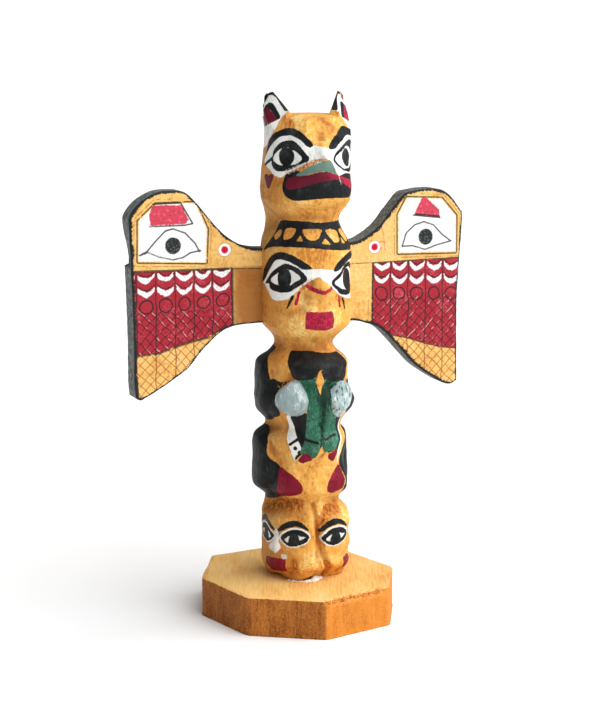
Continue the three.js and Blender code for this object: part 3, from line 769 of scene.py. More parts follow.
def make_pole(material):
    azimuth, z = pole_grid()
    s = np.radians(azimuth) * ROUND
    plain = pole_radius(azimuth, z)
    marks = knife_marks(s, z) * (1 - 0.8 * smooth(z, SHOULDER - 1, EAR_FOOT + 1))
    radius = plain + marks * (1 - 0.6 * smooth(np.abs(azimuth), 100, 150))
    radius = radius - 0.35 * bell((z - POLE_FOOT) / 0.9)
    z = z + FOOT_GAP * bell((azimuth - FOOT_GAP_AT) / 32) * bell((z - POLE_FOOT) / 6)
    x, y = around_axis(azimuth, radius)
    rings = list(np.stack([x, y, z], -1))
    charts = [(s[row], z[row], ear_place(x[row], y[row])[0]) for row in range(POLE_ROWS)]
    for inward in CROWN_SHARES:
        share = 1 - inward
        px, py = x[-1] * share, y[-1] * share
        height = crown_height(px, py, share)
        rings.append(np.stack([px, py, height], -1))
        charts.append((s[-1], height, ear_place(px, py)[0]))
    ends = [[0, 0, POLE_FOOT], [0, 0, HEAD_EDGE + CROWN_RISE]]
    points = np.concatenate([np.concatenate(rings), ends])

    numbers = closed(np.arange(len(rings) * POLE_COLUMNS).reshape(len(rings), POLE_COLUMNS))
    places = spread(np.linspace(0, 1, POLE_COLUMNS + 1), np.linspace(0.01, 0.99, len(rings)))
    parts = [
        sheet(numbers, places),
        flipped(*fan(len(points) - 2, numbers[0], (0.5, 0), places[0])),
        fan(len(points) - 1, numbers[-1], (0.5, 1), places[-1]),
    ]

    chart_s, chart_z, along = (np.append(np.concatenate(c), (0, 0)) for c in zip(*charts))
    tops = np.tile(z[-1], len(CROWN_SHARES))
    crown = points[POLE_ROWS * POLE_COLUMNS : -2, 2] > np.maximum(tops, EAR_FOOT + 1) - 0.7
    wall = np.concatenate([np.ones(POLE_ROWS * POLE_COLUMNS, bool), crown, (False, False)])
    values = paint_pole(chart_s, chart_z, along, wall)
    # painted shade in the hollows, as deep as each point lies below those around it; less in the necks
    beside = sum(np.roll(plain, step, 1) for step in (-9, -5, 5, 9)) / 4
    above = sum(np.roll(plain, step, 0) for step in (-8, -4, 4, 8)) / 4
    hollow = np.clip((beside + above) / 2 - plain, -0.6, 0.6) * (1 - 0.75 * in_necks(z))
    hollow[:FOOT_ROWS] = FOOT_SHADE
    hollow[-TOP_ROWS:] = 0
    values["hollow"] = np.append(hollow.ravel(), np.zeros(len(points) - hollow.size))
    values["torn"] = torn_share(chart_s, chart_z) * wall
    piece = mesh_object("carved_pole", points, parts, material, values)
    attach(piece, "root")
    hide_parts("pole")


# ---------- the wings, by (u, z) ----------
WING_COLUMNS = 150
WING_ROWS = 190
WING_RINGS = 9
WING_ROUNDING = 0.6
WING_THICKNESS = 7.6
WING_SWEEP = math.radians(1)
RECESS_FROM, RECESS_TO, RECESS_DEPTH = 104.6, 117.0, 1.3
BLOCK_TOP = 102.4
PUPIL_SIZE = (2.35, 2.4)

# Each wing's outline is a lower and an upper edge, and how far its outer edge stands beyond
# WING_OUTER at some heights. Its drawn columns start at `inner` and are `pitch` wide, its drawing
# leans by `slope`, and `rows` and `rings` are the heights of its chevrons and its rings. The
# block's outline is wider by `foot_line`, and a `pole_shadow` wing has a painted shadow of the pole
# on its wood near the pole.
WING_ART = {
    "left": dict(
        lower=[(7, 86.6), (17.6, 86.4), (22.5, 85.7), (26.1, 83.8), (31, 79.4), (35, 74.7), (40, 71.2),
               (45.5, 68.3), (49, 66.7), (50.7, 66.1), (52.2, 66.9)],
        upper=[(7, 108.2), (13.4, 108.2), (18.9, 109.5), (23.5, 112.3), (27.5, 116.3), (31.5, 121.2),
               (35.3, 124.9), (38.7, 125.6), (43.5, 125.3), (48, 123.1), (51, 120.1), (52.2, 117.1)],
        outer=[(66, -1.3), (71, -0.9), (82, -1), (96, -0.7), (104, -0.4), (117, 0.1), (126, 0.1)],
        panel=[(29.6, 104.9), (49.7, 106), (49.5, 117.5), (44.4, 122.1), (32.6, 122.1), (29.2, 114.5)],
        red=[(45.3, 121.9), (36.7, 121.6), (34.6, 117.2), (35.8, 116.1), (46, 116), (46.3, 119.2)],
        ink=[
            [(45.3, 122.1), (37, 122.2), (33.5, 116.2), (35.8, 115.8), (46.2, 115.8)],
            [(49.3, 107.8), (47.1, 108.8), (44.3, 111.8), (41.6, 114.4), (39.3, 114.9), (35.8, 113.6),
             (32.9, 110.6), (31.5, 108.1)],
            [(49.3, 107.7), (46.8, 108.5), (43.6, 107.1), (39.4, 106.1), (36.5, 106.6), (34.3, 107.9),
             (31.2, 108.4)],
        ],
        pupil=(39.4, 110.1),
        dot=(24, 108.3),
        pen=[],
        block=[(51.2, 79.2), (44.6, 79.4), (39.4, 81), (34.2, 82.4), (29.6, 83.2), (26.3, 84.9),
               (21.8, 86.6), (21.9, 102.7), (51.4, 103.1)],
        rule=[[(7, 102.3), (13, 102.4), (21.9, 102.8), (51.6, 103.2)], [(22, 102.8), (21.8, 86.4)]],
        inner=22.0,
        pitch=5.68,
        rows=(99.9, 95.9),
        rings=93.4,
        slope=0.035,
        foot_line=0.42,
        pole_shadow=True,
    ),
    "right": dict(
        lower=[(7, 85.5), (16.3, 85.4), (20.5, 84.4), (24.9, 82.7), (29, 79), (33, 74.6), (37, 70.5),
               (41.1, 67.7), (45.2, 65.5), (47.9, 64.3), (49.9, 64.1), (52, 65)],
        upper=[(7, 108.6), (15, 108.6), (19.5, 109.7), (24.7, 113.1), (28.5, 117.5), (32.6, 122.1),
               (35.2, 122.9), (39.2, 123.4), (43.2, 123.4), (46.2, 122.5), (48.9, 120.2), (52, 116)],
        outer=[(65, -1.4), (72, -1.5), (84, -1.7), (92, -1.6), (99, -1.2), (108.8, -0.5), (113.6, -0.2),
               (124, -0.2)],
        panel=[(30.5, 104.8), (49.6, 104.3), (49.5, 115.2), (44.7, 120.5), (33.2, 121.1), (30.4, 116.3)],
        red=[(38.2, 121), (39.8, 120.9), (44, 117.1), (44.1, 115), (35.6, 116)],
        ink=[
            [(44.3, 114.8), (40, 115.3), (35.4, 115.9)],
            [(44, 115.2), (40, 115.7), (36.2, 116.2)],
            [(31.8, 106.7), (33.1, 110.7), (35.9, 113), (38.9, 113.8), (42.1, 112.7), (44.9, 109.8),
             (47.7, 107.8)],
            [(31.8, 106.8), (35.2, 106.8), (39.4, 105.5), (43.2, 106.7), (48, 107.7)],
        ],
        pupil=(39.5, 109.3),
        dot=(22.8, 107),
        pen=[[(25.3, 112.4), (26.2, 105.8)], [(24.2, 108.5), (26.4, 108.3)], [(24.3, 106.4), (26.6, 106)]],
        block=[(51.2, 75), (44.6, 75.9), (39, 77.5), (34.1, 79.2), (28.6, 80.5), (26.2, 82.4),
               (22.1, 84.8), (22.3, 102.2), (51.2, 102.5)],
        rule=[[(7, 102.4), (22, 102.4), (51.6, 102.6)], [(22.3, 102.3), (22.1, 84.6)],
              [(21, 94.8), (20.8, 84.9)]],
        inner=22.3,
        pitch=5.74,
        rows=(99.2, 95.2),
        rings=92.5,
        slope=0.051,
        foot_line=0.15,
        pole_shadow=False,
    ),
}


def through(points, x):
    """A smooth open line through the points, read at x."""
    ends = [points[0], *points, points[-1]]
    line = rounded(ends, 6)[6:-12]
    return np.interp(x, line[:, 0], line[:, 1])


def wing_face(art, back):
    """The places (u, z) of a grid over the wing's face; the back's outer edge is cut away a little."""
    share = np.linspace(0, 1, WING_COLUMNS)
    u = WING_ROOT + (WING_OUTER - WING_ROOT) * (1 - (1 - share) ** 1.25)
    low, high = through(art["lower"], u), through(art["upper"], u)
    up = np.linspace(0, 1, WING_ROWS)[:, None]
    up = up - 0.06 * np.sin(2 * np.pi * up)
    z = low + (high - low) * up
    u = np.broadcast_to(u, z.shape)
    near = smooth(u, WING_OUTER - 14, WING_OUTER)
    u = u + near * np.interp(z, *zip(*art["outer"])) - back * recess(z) * near**3
    ragged = soft_noise(u * 0.9 + 30, z * 0.9, 11) + 0.6 * soft_noise(u * 2.4, z * 2.4, 12)
    return u, z, ragged


def recess(z):
    return RECESS_DEPTH * smooth(z, RECESS_TO, RECESS_FROM + 2) * smooth(z, RECESS_FROM - 0.4, RECESS_FROM)


def loop_of(grid):
    """The border of a grid, from its first corner along the first row."""
    return np.concatenate([grid[0, :-1], grid[:-1, -1], grid[-1, :0:-1], grid[:0:-1, 0]])


def border_distance(u, z):
    """How far each point of the grid is from the wing's outline, away from its root."""
    line = np.stack([loop_of(u), loop_of(z)], -1)
    line = line[line[:, 0] > WING_ROOT + 0.5]
    best = np.full(u.shape, FAR)
    for x, y in line[::2]:
        best = np.minimum(best, (u - x) ** 2 + (z - y) ** 2)
    best = np.sqrt(best)
    best[0, :] = best[-1, :] = best[:, -1] = 0
    return best


def wing_surface(art, back):
    u, z, ragged = wing_face(art, back)
    rim = border_distance(u, z)
    inset = np.clip(WING_ROUNDING - rim, 0, None)
    drop = WING_ROUNDING - np.sqrt(np.maximum(WING_ROUNDING**2 - inset**2, 0))
    drop = drop + 0.16 * (1 + ragged) * bell(rim / 1.6)
    uneven = 0.07 * soft_noise(u * 0.16 + 5, z * 0.16, 13) + 0.05
    front = WING_FRONT + (u - WING_ROOT) * math.tan(WING_SWEEP)
    y = front + WING_THICKNESS - uneven - drop if back else front + uneven + drop
    return u, y, z, rim


def wing_band(front, back):
    """The rings of points over the sawn edge, between the borders of the two faces."""
    rings = []
    for share in np.arange(1, WING_RINGS) / WING_RINGS:
        place = front * (1 - share) + back * share
        cut = recess(place[:, 2]) * (smooth(share, 0, 0.55) - share)
        cut = cut * smooth(place[:, 0], WING_OUTER - 3, WING_OUTER - 1.5)
        rough = 0.08 * soft_noise(place[:, 2] * 1.3 + place[:, 0], place[:, 1] * 0.8 + 20, 14)
        place[:, 0] = place[:, 0] - cut - np.abs(rough) * smooth(place[:, 0], WING_ROOT + 2, WING_OUTER)
        rings.append(place)
    return rings


def draw_wing(art, u, z):
    """The signed distance of each drawn thing, at every point of a wing."""
    drawn = {name: patch(art[name], sharp=True)(u, z) for name in ("panel", "red", "block")}
    for name in ("ink", "rule", "pen"):
        drawn[name] = union([stroke(line, 0) for line in art[name]], u, z)
    drawn["pupil"] = spot(*art["pupil"], *PUPIL_SIZE)(u, z)
    drawn["dot"] = np.hypot(u - art["dot"][0], z - art["dot"][1])
    return drawn


def make_wing(side, material):
    art = WING_ART[side]
    faces = [wing_surface(art, back) for back in (0, 1)]
    count = WING_ROWS * WING_COLUMNS
    grids = [np.arange(count).reshape(WING_ROWS, WING_COLUMNS) + start for start in (0, count)]
    rows = [np.stack([u, y, z], -1).reshape(-1, 3) for u, y, z, _rim in faces]
    borders = [np.stack([loop_of(value) for value in face[:3]], -1) for face in faces]
    rings = wing_band(*borders)
    points = np.concatenate([*rows, *rings])
    ring_numbers = np.arange(2 * count, len(points)).reshape(len(rings), -1)
    band = closed(np.stack([loop_of(grids[0]), *ring_numbers, loop_of(grids[1])]))
    u, z = points[:, 0].copy(), points[:, 2].copy()
    if side == "left":
        points[:, 0] *= -1

    across, up = (u - WING_ROOT) / (WING_OUTER - WING_ROOT), (z - WING_LOW) / (WING_HIGH - WING_LOW)
    spots = np.stack([across, up], -1)
    front_spots = 0.01 + spots[grids[0]] * (0.64, 0.92)
    back_spots = (0.67, 0.01) + spots[grids[1]] * (0.32, 0.92)
    band_spots = spread(np.linspace(0.01, 0.99, band.shape[1]), np.linspace(0.945, 0.99, len(band)))
    parts = [
        sheet(grids[0], front_spots),
        flipped(*sheet(grids[1], back_spots)),
        flipped(*sheet(band, band_spots)),
    ]
    if side == "left":
        parts = [flipped(*part) for part in parts]

    rim = np.zeros(len(points))
    rim[: 2 * count] = np.concatenate([face[3].ravel() for face in faces])
    values = draw_wing(art, u, z)
    values["across"], values["up"], values["rim"] = u, z, rim
    values["front"] = (np.arange(len(points)) < count).astype(float)
    values["band"] = (np.arange(len(points)) >= 2 * count).astype(float)
    piece = mesh_object(f"painted_{side}_wing", points, parts, material, values)
    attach(piece, "root")
    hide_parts(f"{side}_wing")


# ---------- the base ----------
BASE_SIDE_COLUMNS = 48
BASE_CORNERS = [(26.2, -4.9), (20.0, 18.6), (1.6, 30.8), (-20.2, 27.4), (-31.1, 5.6), (-25.6, -18.4),
                (-6.0, -30.8), (16.4, -24.5)]
BASE_REACH = 33.0  # farther than any corner is from the middle
TORN_SIDE, WAVY_SIDE = 14.0, -62.0  # azimuths of the torn and of the wavy stretch of its upper edge
BASE_FACE = BASE_TOP - 0.05  # the mean height of its planed top


def octagon():
    """Going round the sawn octagon: the angle and the distance from its middle, and the way gone."""
    corners = np.array(BASE_CORNERS) - BASE_MIDDLE[:2]
    share = np.arange(BASE_SIDE_COLUMNS)[:, None] / BASE_SIDE_COLUMNS
    turn, edge, around, gone = [], [], [], 0
    for start, end in zip(corners, np.roll(corners, -1, 0)):
        length = np.hypot(*(end - start))
        along = share[:, 0] * length
        x, y = (start + (end - start) * share).T
        worn = 0.3 * bell(np.minimum(along, length - along) / 0.9)
        turn.append(np.arctan2(y, x))
        edge.append(np.hypot(x, y) - worn)
        around.append(along + gone)
        gone += length
    return np.concatenate(turn), np.concatenate(edge), np.concatenate(around)


def base_rings(turn, edge, around, torn_edge, wavy_edge):
    """How far out and how high the points of each ring are: the underside's, the sides' and the top's."""
    columns = len(turn)

    def uneven(scale, row, seed):
        return soft_noise(around * scale, around * 0 + row, seed)

    sawn = 0.1 * uneven(1.6, 3, 21) + 0.16 * uneven(0.22, 0, 22)
    rough = 0.5 * uneven(1.1, 7, 23) + 0.5 * uneven(2.6, 0, 24)
    below = [(edge * share, np.zeros(columns)) for share in np.linspace(0.06, 0.9, 16)]
    for inset in (0.6, 0.45, 0.3, 0.15, 0):
        below.append((edge - inset, np.full(columns, 0.02)))
    sides = []
    for height in np.linspace(0.3, BASE_TOP - 0.35, 26):
        relief = sawn + 0.07 * uneven(3.2, height * 0.12, 25)
        relief = relief - torn_edge * 0.35 * smooth(height, BASE_TOP - 3, BASE_TOP) * (1 + rough)
        sides.append((edge - 0.25 + relief, np.full(columns, height)))
    above = []
    lip = BASE_TOP - 0.12 - torn_edge * 0.8 * (0.6 + rough) - wavy_edge * 0.3 * (1 + sawn * 6)
    low = np.clip(lip, 0, BASE_FACE)
    for inset in (0.1, 0.3, 0.6, 0.9, 1.2, 1.6, 2.0, 2.5):
        level = low + (BASE_TOP - low) * smooth(inset, 0, 1.6 + 0.8 * torn_edge)
        chips = np.abs(uneven(1.3, inset * 1.6, 27)) * bell(inset / 2.8)
        level = np.minimum(level - 0.55 * torn_edge * chips, BASE_FACE)
        above.append((edge - 0.25 - inset + sawn * (1 - smooth(inset, 0, 2)), level))
    for share in np.linspace(0.9, 0.04, 40):
        level = 0.05 * soft_noise(edge * share * np.cos(turn) * 1.2 + 40, edge * share * 0 + 2, 26)
        above.append((np.minimum(edge * share, edge - 2.8), BASE_FACE + level))
    return below, sides, above


def make_base(material):
    turn, edge, around = octagon()
    columns = len(turn)
    facing = wrapped(np.degrees(turn) + 90)
    torn_edge = smooth(np.abs(wrapped(facing - TORN_SIDE)), 26, 16)
    wavy_edge = smooth(np.abs(wrapped(facing - WAVY_SIDE)), 75, 50)
    below, sides, above = base_rings(turn, edge, around, torn_edge, wavy_edge)
    rings = below + sides + above
    first, second = len(below) - 1, len(below) + len(sides)
    middle = BASE_MIDDLE[:2]
    points = []
    for r, z in rings:
        x, y = middle[0] + r * np.cos(turn), middle[1] + r * np.sin(turn)
        points.append(np.stack([x, y, np.broadcast_to(z, r.shape)], -1))
    ends = [[*middle, 0.02], [*middle, BASE_FACE]]
    points = np.concatenate([*points, ends])
    points[:, 2] = np.clip(points[:, 2], 0, BASE_TOP)

    numbers = closed(np.arange(len(rings) * columns).reshape(len(rings), columns))
    flat = (points[numbers][..., :2] - middle) / BASE_REACH
    under_middle, over_middle = (0.84, 0.2), (0.34, 0.64)
    under = under_middle + flat * 0.15
    over = over_middle + flat * 0.33
    share = np.linspace(0.01, 0.66, columns + 1)[None, :]
    side = np.stack(np.broadcast_arrays(share, points[numbers][..., 2] / BASE_TOP * 0.26 + 0.01), -1)
    parts = [
        sheet(numbers[: first + 1], under[: first + 1]),
        sheet(numbers[first : second + 1], side[first : second + 1]),
        sheet(numbers[second:], over[second:]),
        flipped(*fan(len(points) - 2, numbers[0], under_middle, under[0])),
        fan(len(points) - 1, numbers[-1], over_middle, over[-1]),
    ]
    level = np.concatenate([np.full(columns, float(n >= second)) for n in range(len(rings))])
    tear = np.concatenate([torn_edge * smooth(z, BASE_TOP - 3.5, BASE_TOP - 0.4) for _r, z in rings])
    away = np.concatenate([edge - r for r, _z in rings])
    values = {
        "top": np.append(level, (0, 1)),
        "tear": np.append(tear, (0, 0)),
        "away": np.append(away, (BASE_REACH, BASE_REACH)),
        "facing": np.append(np.tile(facing, len(rings)), (0, 0)),
    }
    piece = mesh_object("sawn_base", points, parts, material, values)
    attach(piece, "root")
    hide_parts("base")


# ---------- the glue that shows under the pole's front ----------
GLUE_FROM, GLUE_TO = -56, 16  # its ends, as azimuths
GLUE_COLUMNS = 130
GLUE_SIDES = 10


def make_glue(material):
    count, sides = GLUE_COLUMNS, GLUE_SIDES
    azimuth = np.linspace(GLUE_FROM, GLUE_TO, count)
    radius = pole_radius(azimuth, np.full(count, POLE_FOOT + 0.3)) - 0.1
    size = 0.34 + 0.22 * soft_noise(azimuth * 0.13 + 20, azimuth * 0, 31)
    size = size + 0.1 * soft_noise(azimuth * 0.5, azimuth * 0 + 4, 32)
    size = size + 0.55 * bell(np.abs(azimuth + 8) / 24)
    size = size * smooth(np.arange(count), 0, 5) * smooth(count - 1 - np.arange(count), 0, 5) + 0.02
    rows = []
    for turn in np.linspace(-0.25, np.pi + 0.25, sides):
        out = radius + size * 1.7 * np.cos(turn)
        height = BASE_TOP - 0.1 + np.maximum(size * 1.15 * np.sin(turn), -0.06)
        rows.append(np.stack([*around_axis(azimuth, out), height], -1))
    grid = np.arange(sides * count).reshape(sides, count)
    grid = np.concatenate([grid, grid[:1]])
    places = spread(np.linspace(0.02, 0.98, count), np.linspace(0.02, 0.98, sides + 1))
    points = np.concatenate([*rows, [rows[0][0], rows[0][-1]]])
    first, last = len(points) - 2, len(points) - 1
    parts = [
        sheet(grid, places),
        fan(first, grid[:, 0], (0, 0.5), places[:, 0]),
        flipped(*fan(last, grid[:, -1], (1, 0.5), places[:, -1])),
    ]
    piece = mesh_object("glue_bead", points, parts, material, {})
    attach(piece, "root")


# ---------- materials ----------
GLOSS = 0.16


def rgb(red, green, blue):
    """A colour given as it looks on a screen, 0 to 255."""
    def linear(value):
        share = value / 255
        return share / 12.92 if share <= 0.04045 else ((share + 0.055) / 1.055) ** 2.4

    return (linear(red), linear(green), linear(blue), 1)


class Value:
    """A number or a colour that a material's nodes work out at every point."""

    def __init__(self, finish, socket):
        self.finish = finish
        self.socket = socket

    def math(self, operation, *others):
        return self.finish.node("ShaderNodeMath", (self, *others), operation=operation)

    def __add__(self, other):
        return self.math("ADD", other)

    def __sub__(self, other):
        return self.math("SUBTRACT", other)

    def __rsub__(self, number):
        return self * -1 + number

    def __mul__(self, other):
        return self.math("MULTIPLY", other)

    def __abs__(self):
        return self.math("ABSOLUTE")

    def step(self, low, high):
        """0 at low, 1 at high, and smooth between; low may be the larger."""
        inputs = {"Value": self, "From Min": low, "From Max": high}
        return self.finish.node("ShaderNodeMapRange", inputs, interpolation_type="SMOOTHSTEP")


class Finish:
    """One material's nodes and the colour that they have come to. Sizes and heights are in mm."""

    def __init__(self, name):
        self.material = bpy.data.materials.new(name)
        self.material.use_nodes = True
        self.tree = self.material.node_tree
        self.tree.nodes.clear()
        place = self.node("ShaderNodeTexCoord", output="Object")
        self.place = self.node("ShaderNodeVectorMath", (place, (1 / MM,) * 3), operation="MULTIPLY")
        self.across = self.node("ShaderNodeSeparateXYZ", (self.place,), "X")
        self.height = self.node("ShaderNodeSeparateXYZ", (self.place,), "Z")

    def node(self, kind, inputs=(), output=0, **settings):
        """One output of a new node that is fed with numbers, colours and other nodes' values."""
        node = self.tree.nodes.new(kind)
        for name, value in settings.items():
            setattr(node, name, value)
        pairs = inputs.items() if isinstance(inputs, dict) else enumerate(inputs)
        for socket, value in pairs:
            if isinstance(value, Value):
                self.tree.links.new(value.socket, node.inputs[socket])
            else:
                node.inputs[socket].default_value = value
        return Value(self, node.outputs[output])

    def value(self, name):
        return self.node("ShaderNodeAttribute", output="Fac", attribute_name=name)

    def noise(self, size, detail=2, along=(1, 1, 1), roughness=0.55):
        """Noise around zero, mostly within 0.25, with blots of the given size."""
        place = self.node("ShaderNodeVectorMath", (self.place, along), operation="MULTIPLY")
        inputs = {"Vector": place, "Scale": 1 / size, "Detail": detail, "Roughness": roughness}
        return self.node("ShaderNodeTexNoise", inputs, "Fac") - 0.5

    def mix(self, share, low, high):
        inputs = {0: share, 6: low, 7: high}
        return self.node("ShaderNodeMix", inputs, 2, data_type="RGBA", clamp_factor=True)

    def coat(self, colour, share):
        """One more colour over what there is, as strong as the share says."""
        self.colour = self.mix(share, self.colour, colour)

    def close(self, roughness, height):
        bump = self.node("ShaderNodeBump", {"Height": height, "Distance": MM, "Strength": 1.0})
        inputs = {"Base Color": self.colour, "Roughness": roughness, "Normal": bump}
        inputs["Specular IOR Level"] = GLOSS
        shader = self.node("ShaderNodeBsdfPrincipled", inputs)
        end = self.tree.nodes.new("ShaderNodeOutputMaterial")
        self.tree.links.new(shader.socket, end.inputs["Surface"])
        return self.material


WOOD_LIGHT = rgb(252, 214, 134)
WOOD_MIDDLE = rgb(234, 172, 82)
WOOD_DARK = rgb(192, 118, 44)
WOOD_SPECK = rgb(166, 92, 34)
LEFT_SIDE_SHADE = rgb(172, 106, 46)
STAIN_AND_SHADE_BROWN = rgb(150, 78, 26)
CHARRED = rgb(128, 60, 16)
TORN_WOOD = rgb(208, 120, 44)
TORN_FIBRE = rgb(234, 158, 72)
PALE_FIBRE = rgb(240, 226, 200)
BLACK_WORN = rgb(48, 52, 53)
MAROON_DARK_AND_SHADED = rgb(100, 14, 36)
CRIMSON = rgb(168, 16, 50)
CRIMSON_LIGHT = rgb(214, 60, 100)
GREEN_LIGHT = rgb(88, 146, 122)
GREEN_IN_SHADE = rgb(20, 36, 30)
BEAK_GREEN = rgb(104, 130, 120)

# each paint: its colour where it is thick and where it is worn, its thickness, and whether the
# grain rubs through it
PAINTS = {
    "white": (rgb(238, 238, 234), rgb(205, 208, 203), 0.09, True),
    "black": (rgb(16, 18, 19), BLACK_WORN, 0.07, False),
    "green": (rgb(36, 92, 68), GREEN_LIGHT, 0.11, True),
    "maroon": (rgb(120, 12, 36), rgb(172, 28, 60), 0.05, False),
    "grey": (rgb(150, 170, 170), rgb(222, 232, 230), 0.13, True),
}

# heights between which one colour turns into another
MIDDLE_CHIN = (82, 84)
MIDDLE_EYES = (102, 101)
UPPER_GREEN = (112, 122)
UPPER_HEAD = (120, 124)
BEAK_TOP = (139, 137)


def bare_wood(finish, along, light=WOOD_LIGHT, middle=WOOD_MIDDLE, dark=WOOD_DARK):
    """Colours bare wood with its grain along one axis, and returns the height of its fibres."""
    streaks = finish.noise(0.9, 4, along, 0.6)
    clouds = finish.noise(9, 3)
    grit = finish.noise(0.9, 5, (1, 1, 0.7), 0.75)
    tone = streaks * 0.6 + (clouds + grit) * 1.5
    finish.colour = finish.mix(tone.step(-0.4, 0.0), dark, middle)
    finish.coat(light, tone.step(0.04, 0.34))
    specks = finish.noise(0.45, 4, (1, 1, 0.8), 0.7) - clouds * 0.4
    finish.coat(WOOD_SPECK, specks.step(-0.08, -0.22) * 0.6)
    return finish.noise(0.28, 3, along, 0.6) * 0.08 + grit * 0.2


def varied_paint(finish, name, paint, blots, fine, scratches):
    """A paint of the pole with what sets it off from place to place."""
    mix, noise, across, height = finish.mix, finish.noise, finish.across, finish.height
    if name == "green":
        paint = mix(fine.step(0.06, 0.2), paint, GREEN_LIGHT)
        # painted shade in the green's crease, broken up by scratches
        crease_shade = (finish.value("dark") + scratches * 5.0).step(0.8, -0.6)
        paint = mix(crease_shade * 0.85, paint, GREEN_IN_SHADE)
        paint = mix(height.step(*UPPER_GREEN) * 0.85, paint, BEAK_GREEN)
    if name == "maroon":
        # painted shade on the upper mouth's left, and painted light, lit crimson and pink, on its right
        paint = mix(height.step(*UPPER_HEAD) * across.step(4, -2), paint, MAROON_DARK_AND_SHADED)
        lips = height.step(*MIDDLE_CHIN) * height.step(*MIDDLE_EYES)
        upper = height.step(*UPPER_HEAD) * across.step(0, 9)
        # the lips' own crimson, which is also the painted light on the upper mouth's right
        crimson_and_lit = mix((fine + blots).step(0.0, 0.22), CRIMSON, CRIMSON_LIGHT)
        crimson_and_lit = mix(noise(1.5, 4).step(-0.1, 0.25) * 0.6, crimson_and_lit, MAROON_DARK_AND_SHADED)
        paint = mix(lips.math("MAXIMUM", upper), paint, crimson_and_lit)
    if name == "grey":
        strokes = noise(0.8, 4, (1, 1, 0.35)).step(0.04, 0.16)
        paint = mix(strokes * (across.step(-2, 3) * 0.75 + 0.2), paint, BLACK_WORN)
    return paint


def painted_pole():
    finish = Finish("painted_pole")
    noise, value, coat = finish.noise, finish.value, finish.coat
    fibres = bare_wood(finish, (1, 1, 0.12))
    blots = noise(0.55, 3)
    fine = noise(0.22, 2)
    scratches = noise(0.3, 3, (1, 1, 0.22))
    clouds = noise(3.2, 3)
    torn = value("torn")

    # painted shade in the hollows and at the foot
    coat(STAIN_AND_SHADE_BROWN, (value("hollow") + clouds * 0.6).step(0.0, 0.38) * 0.8)
    # painted shade on the pole's left side, away from the light
    coat(LEFT_SIDE_SHADE, (finish.across + clouds * 3.0).step(-5, -13) * 0.5)
    # stains, with painted shade at the foot, under the upper jaw and under the middle head's chin
    coat(STAIN_AND_SHADE_BROWN, (value("stain_and_shade") + clouds * 3.2).step(1.6, -0.9) * 0.55)
    coat(TORN_WOOD, torn.step(0.02, 0.26) * 0.75)
    ripped = torn.step(0.04, 0.3)
    coat(CHARRED, ripped * noise(0.9, 4, (1, 1, 0.6)).step(-0.02, 0.16) * 0.8)
    coat(TORN_FIBRE, ripped * noise(0.8, 3).step(0.04, 0.2) * 0.6)
    relief = fibres + torn.step(0.03, 0.25) * blots * 0.5

    wobble = blots * 0.5 + fine * 0.25
    covered = 0.0
    for name, (full, worn, thickness, rubbed) in PAINTS.items():
        mask = (value(name) + wobble).step(0.07, -0.07)
        if rubbed:
            mask = mask * (scratches + clouds * 0.5).step(0.36, 0.24)
        paint = finish.mix((clouds + scratches * 0.8).step(-0.05, 0.32), full, worn)
        coat(varied_paint(finish, name, paint, blots, fine, scratches), mask)
        relief = relief + mask * thickness
        covered = mask.math("MAXIMUM", covered)

    at_beak = finish.height.step(*UPPER_HEAD) * finish.height.step(*BEAK_TOP)
    bared = torn.step(0.12, 0.34) * noise(0.5, 3, (1, 1, 0.5)).step(-0.02, 0.1)
    coat(finish.mix(at_beak, TORN_FIBRE, PALE_FIBRE), bared * 0.75)
    relief = relief + covered * scratches * 0.14
    return finish.close(covered * -0.12 + 0.58 + clouds * 0.25, relief)


WING_WOOD = rgb(247, 206, 136)
WING_WOOD_MIDDLE = rgb(240, 192, 112)
WING_WOOD_DARK = rgb(214, 158, 82)
POLE_SHADOW_WOOD = rgb(156, 88, 32)
BLOCK_RED = rgb(166, 38, 52)
BLOCK_RED_LIGHT = rgb(204, 84, 96)
ROSE = rgb(206, 8, 56)
ROSE_DARK = rgb(140, 10, 44)
ROSE_LIGHT = rgb(236, 84, 126)
PAPER_WHITE = rgb(240, 241, 240)
WORN_CHEVRON = rgb(206, 178, 196)
INK = rgb(30, 33, 34)
PUPIL_BLACK = rgb(40, 44, 44)
PUPIL_GREY = rgb(104, 108, 106)
SEPIA = rgb(150, 84, 36)
HATCH_ON_WOOD = rgb(176, 104, 48)
HATCH_ON_RED = rgb(86, 20, 30)
PALE_SCRATCH = rgb(226, 176, 176)
EDGE_BLACK = rgb(40, 43, 43)
EDGE_GREY = rgb(134, 139, 136)
HATCH_SPACING = 1.06
HATCH_TOP = 91.2
SCRATCHES_TOP = 91.0
DRAWN_FROM = 22.0  # the u where the drawn columns and hatching start
BLACKENED_FROM = 11.0  # the u where the blackened edge starts
POLE_SHADOW_TO = 27.0  # the u where the painted shadow of the pole on the left wing ends
POLE_SHADOW_UNDER = 102.6  # the z under which it is at its darkest


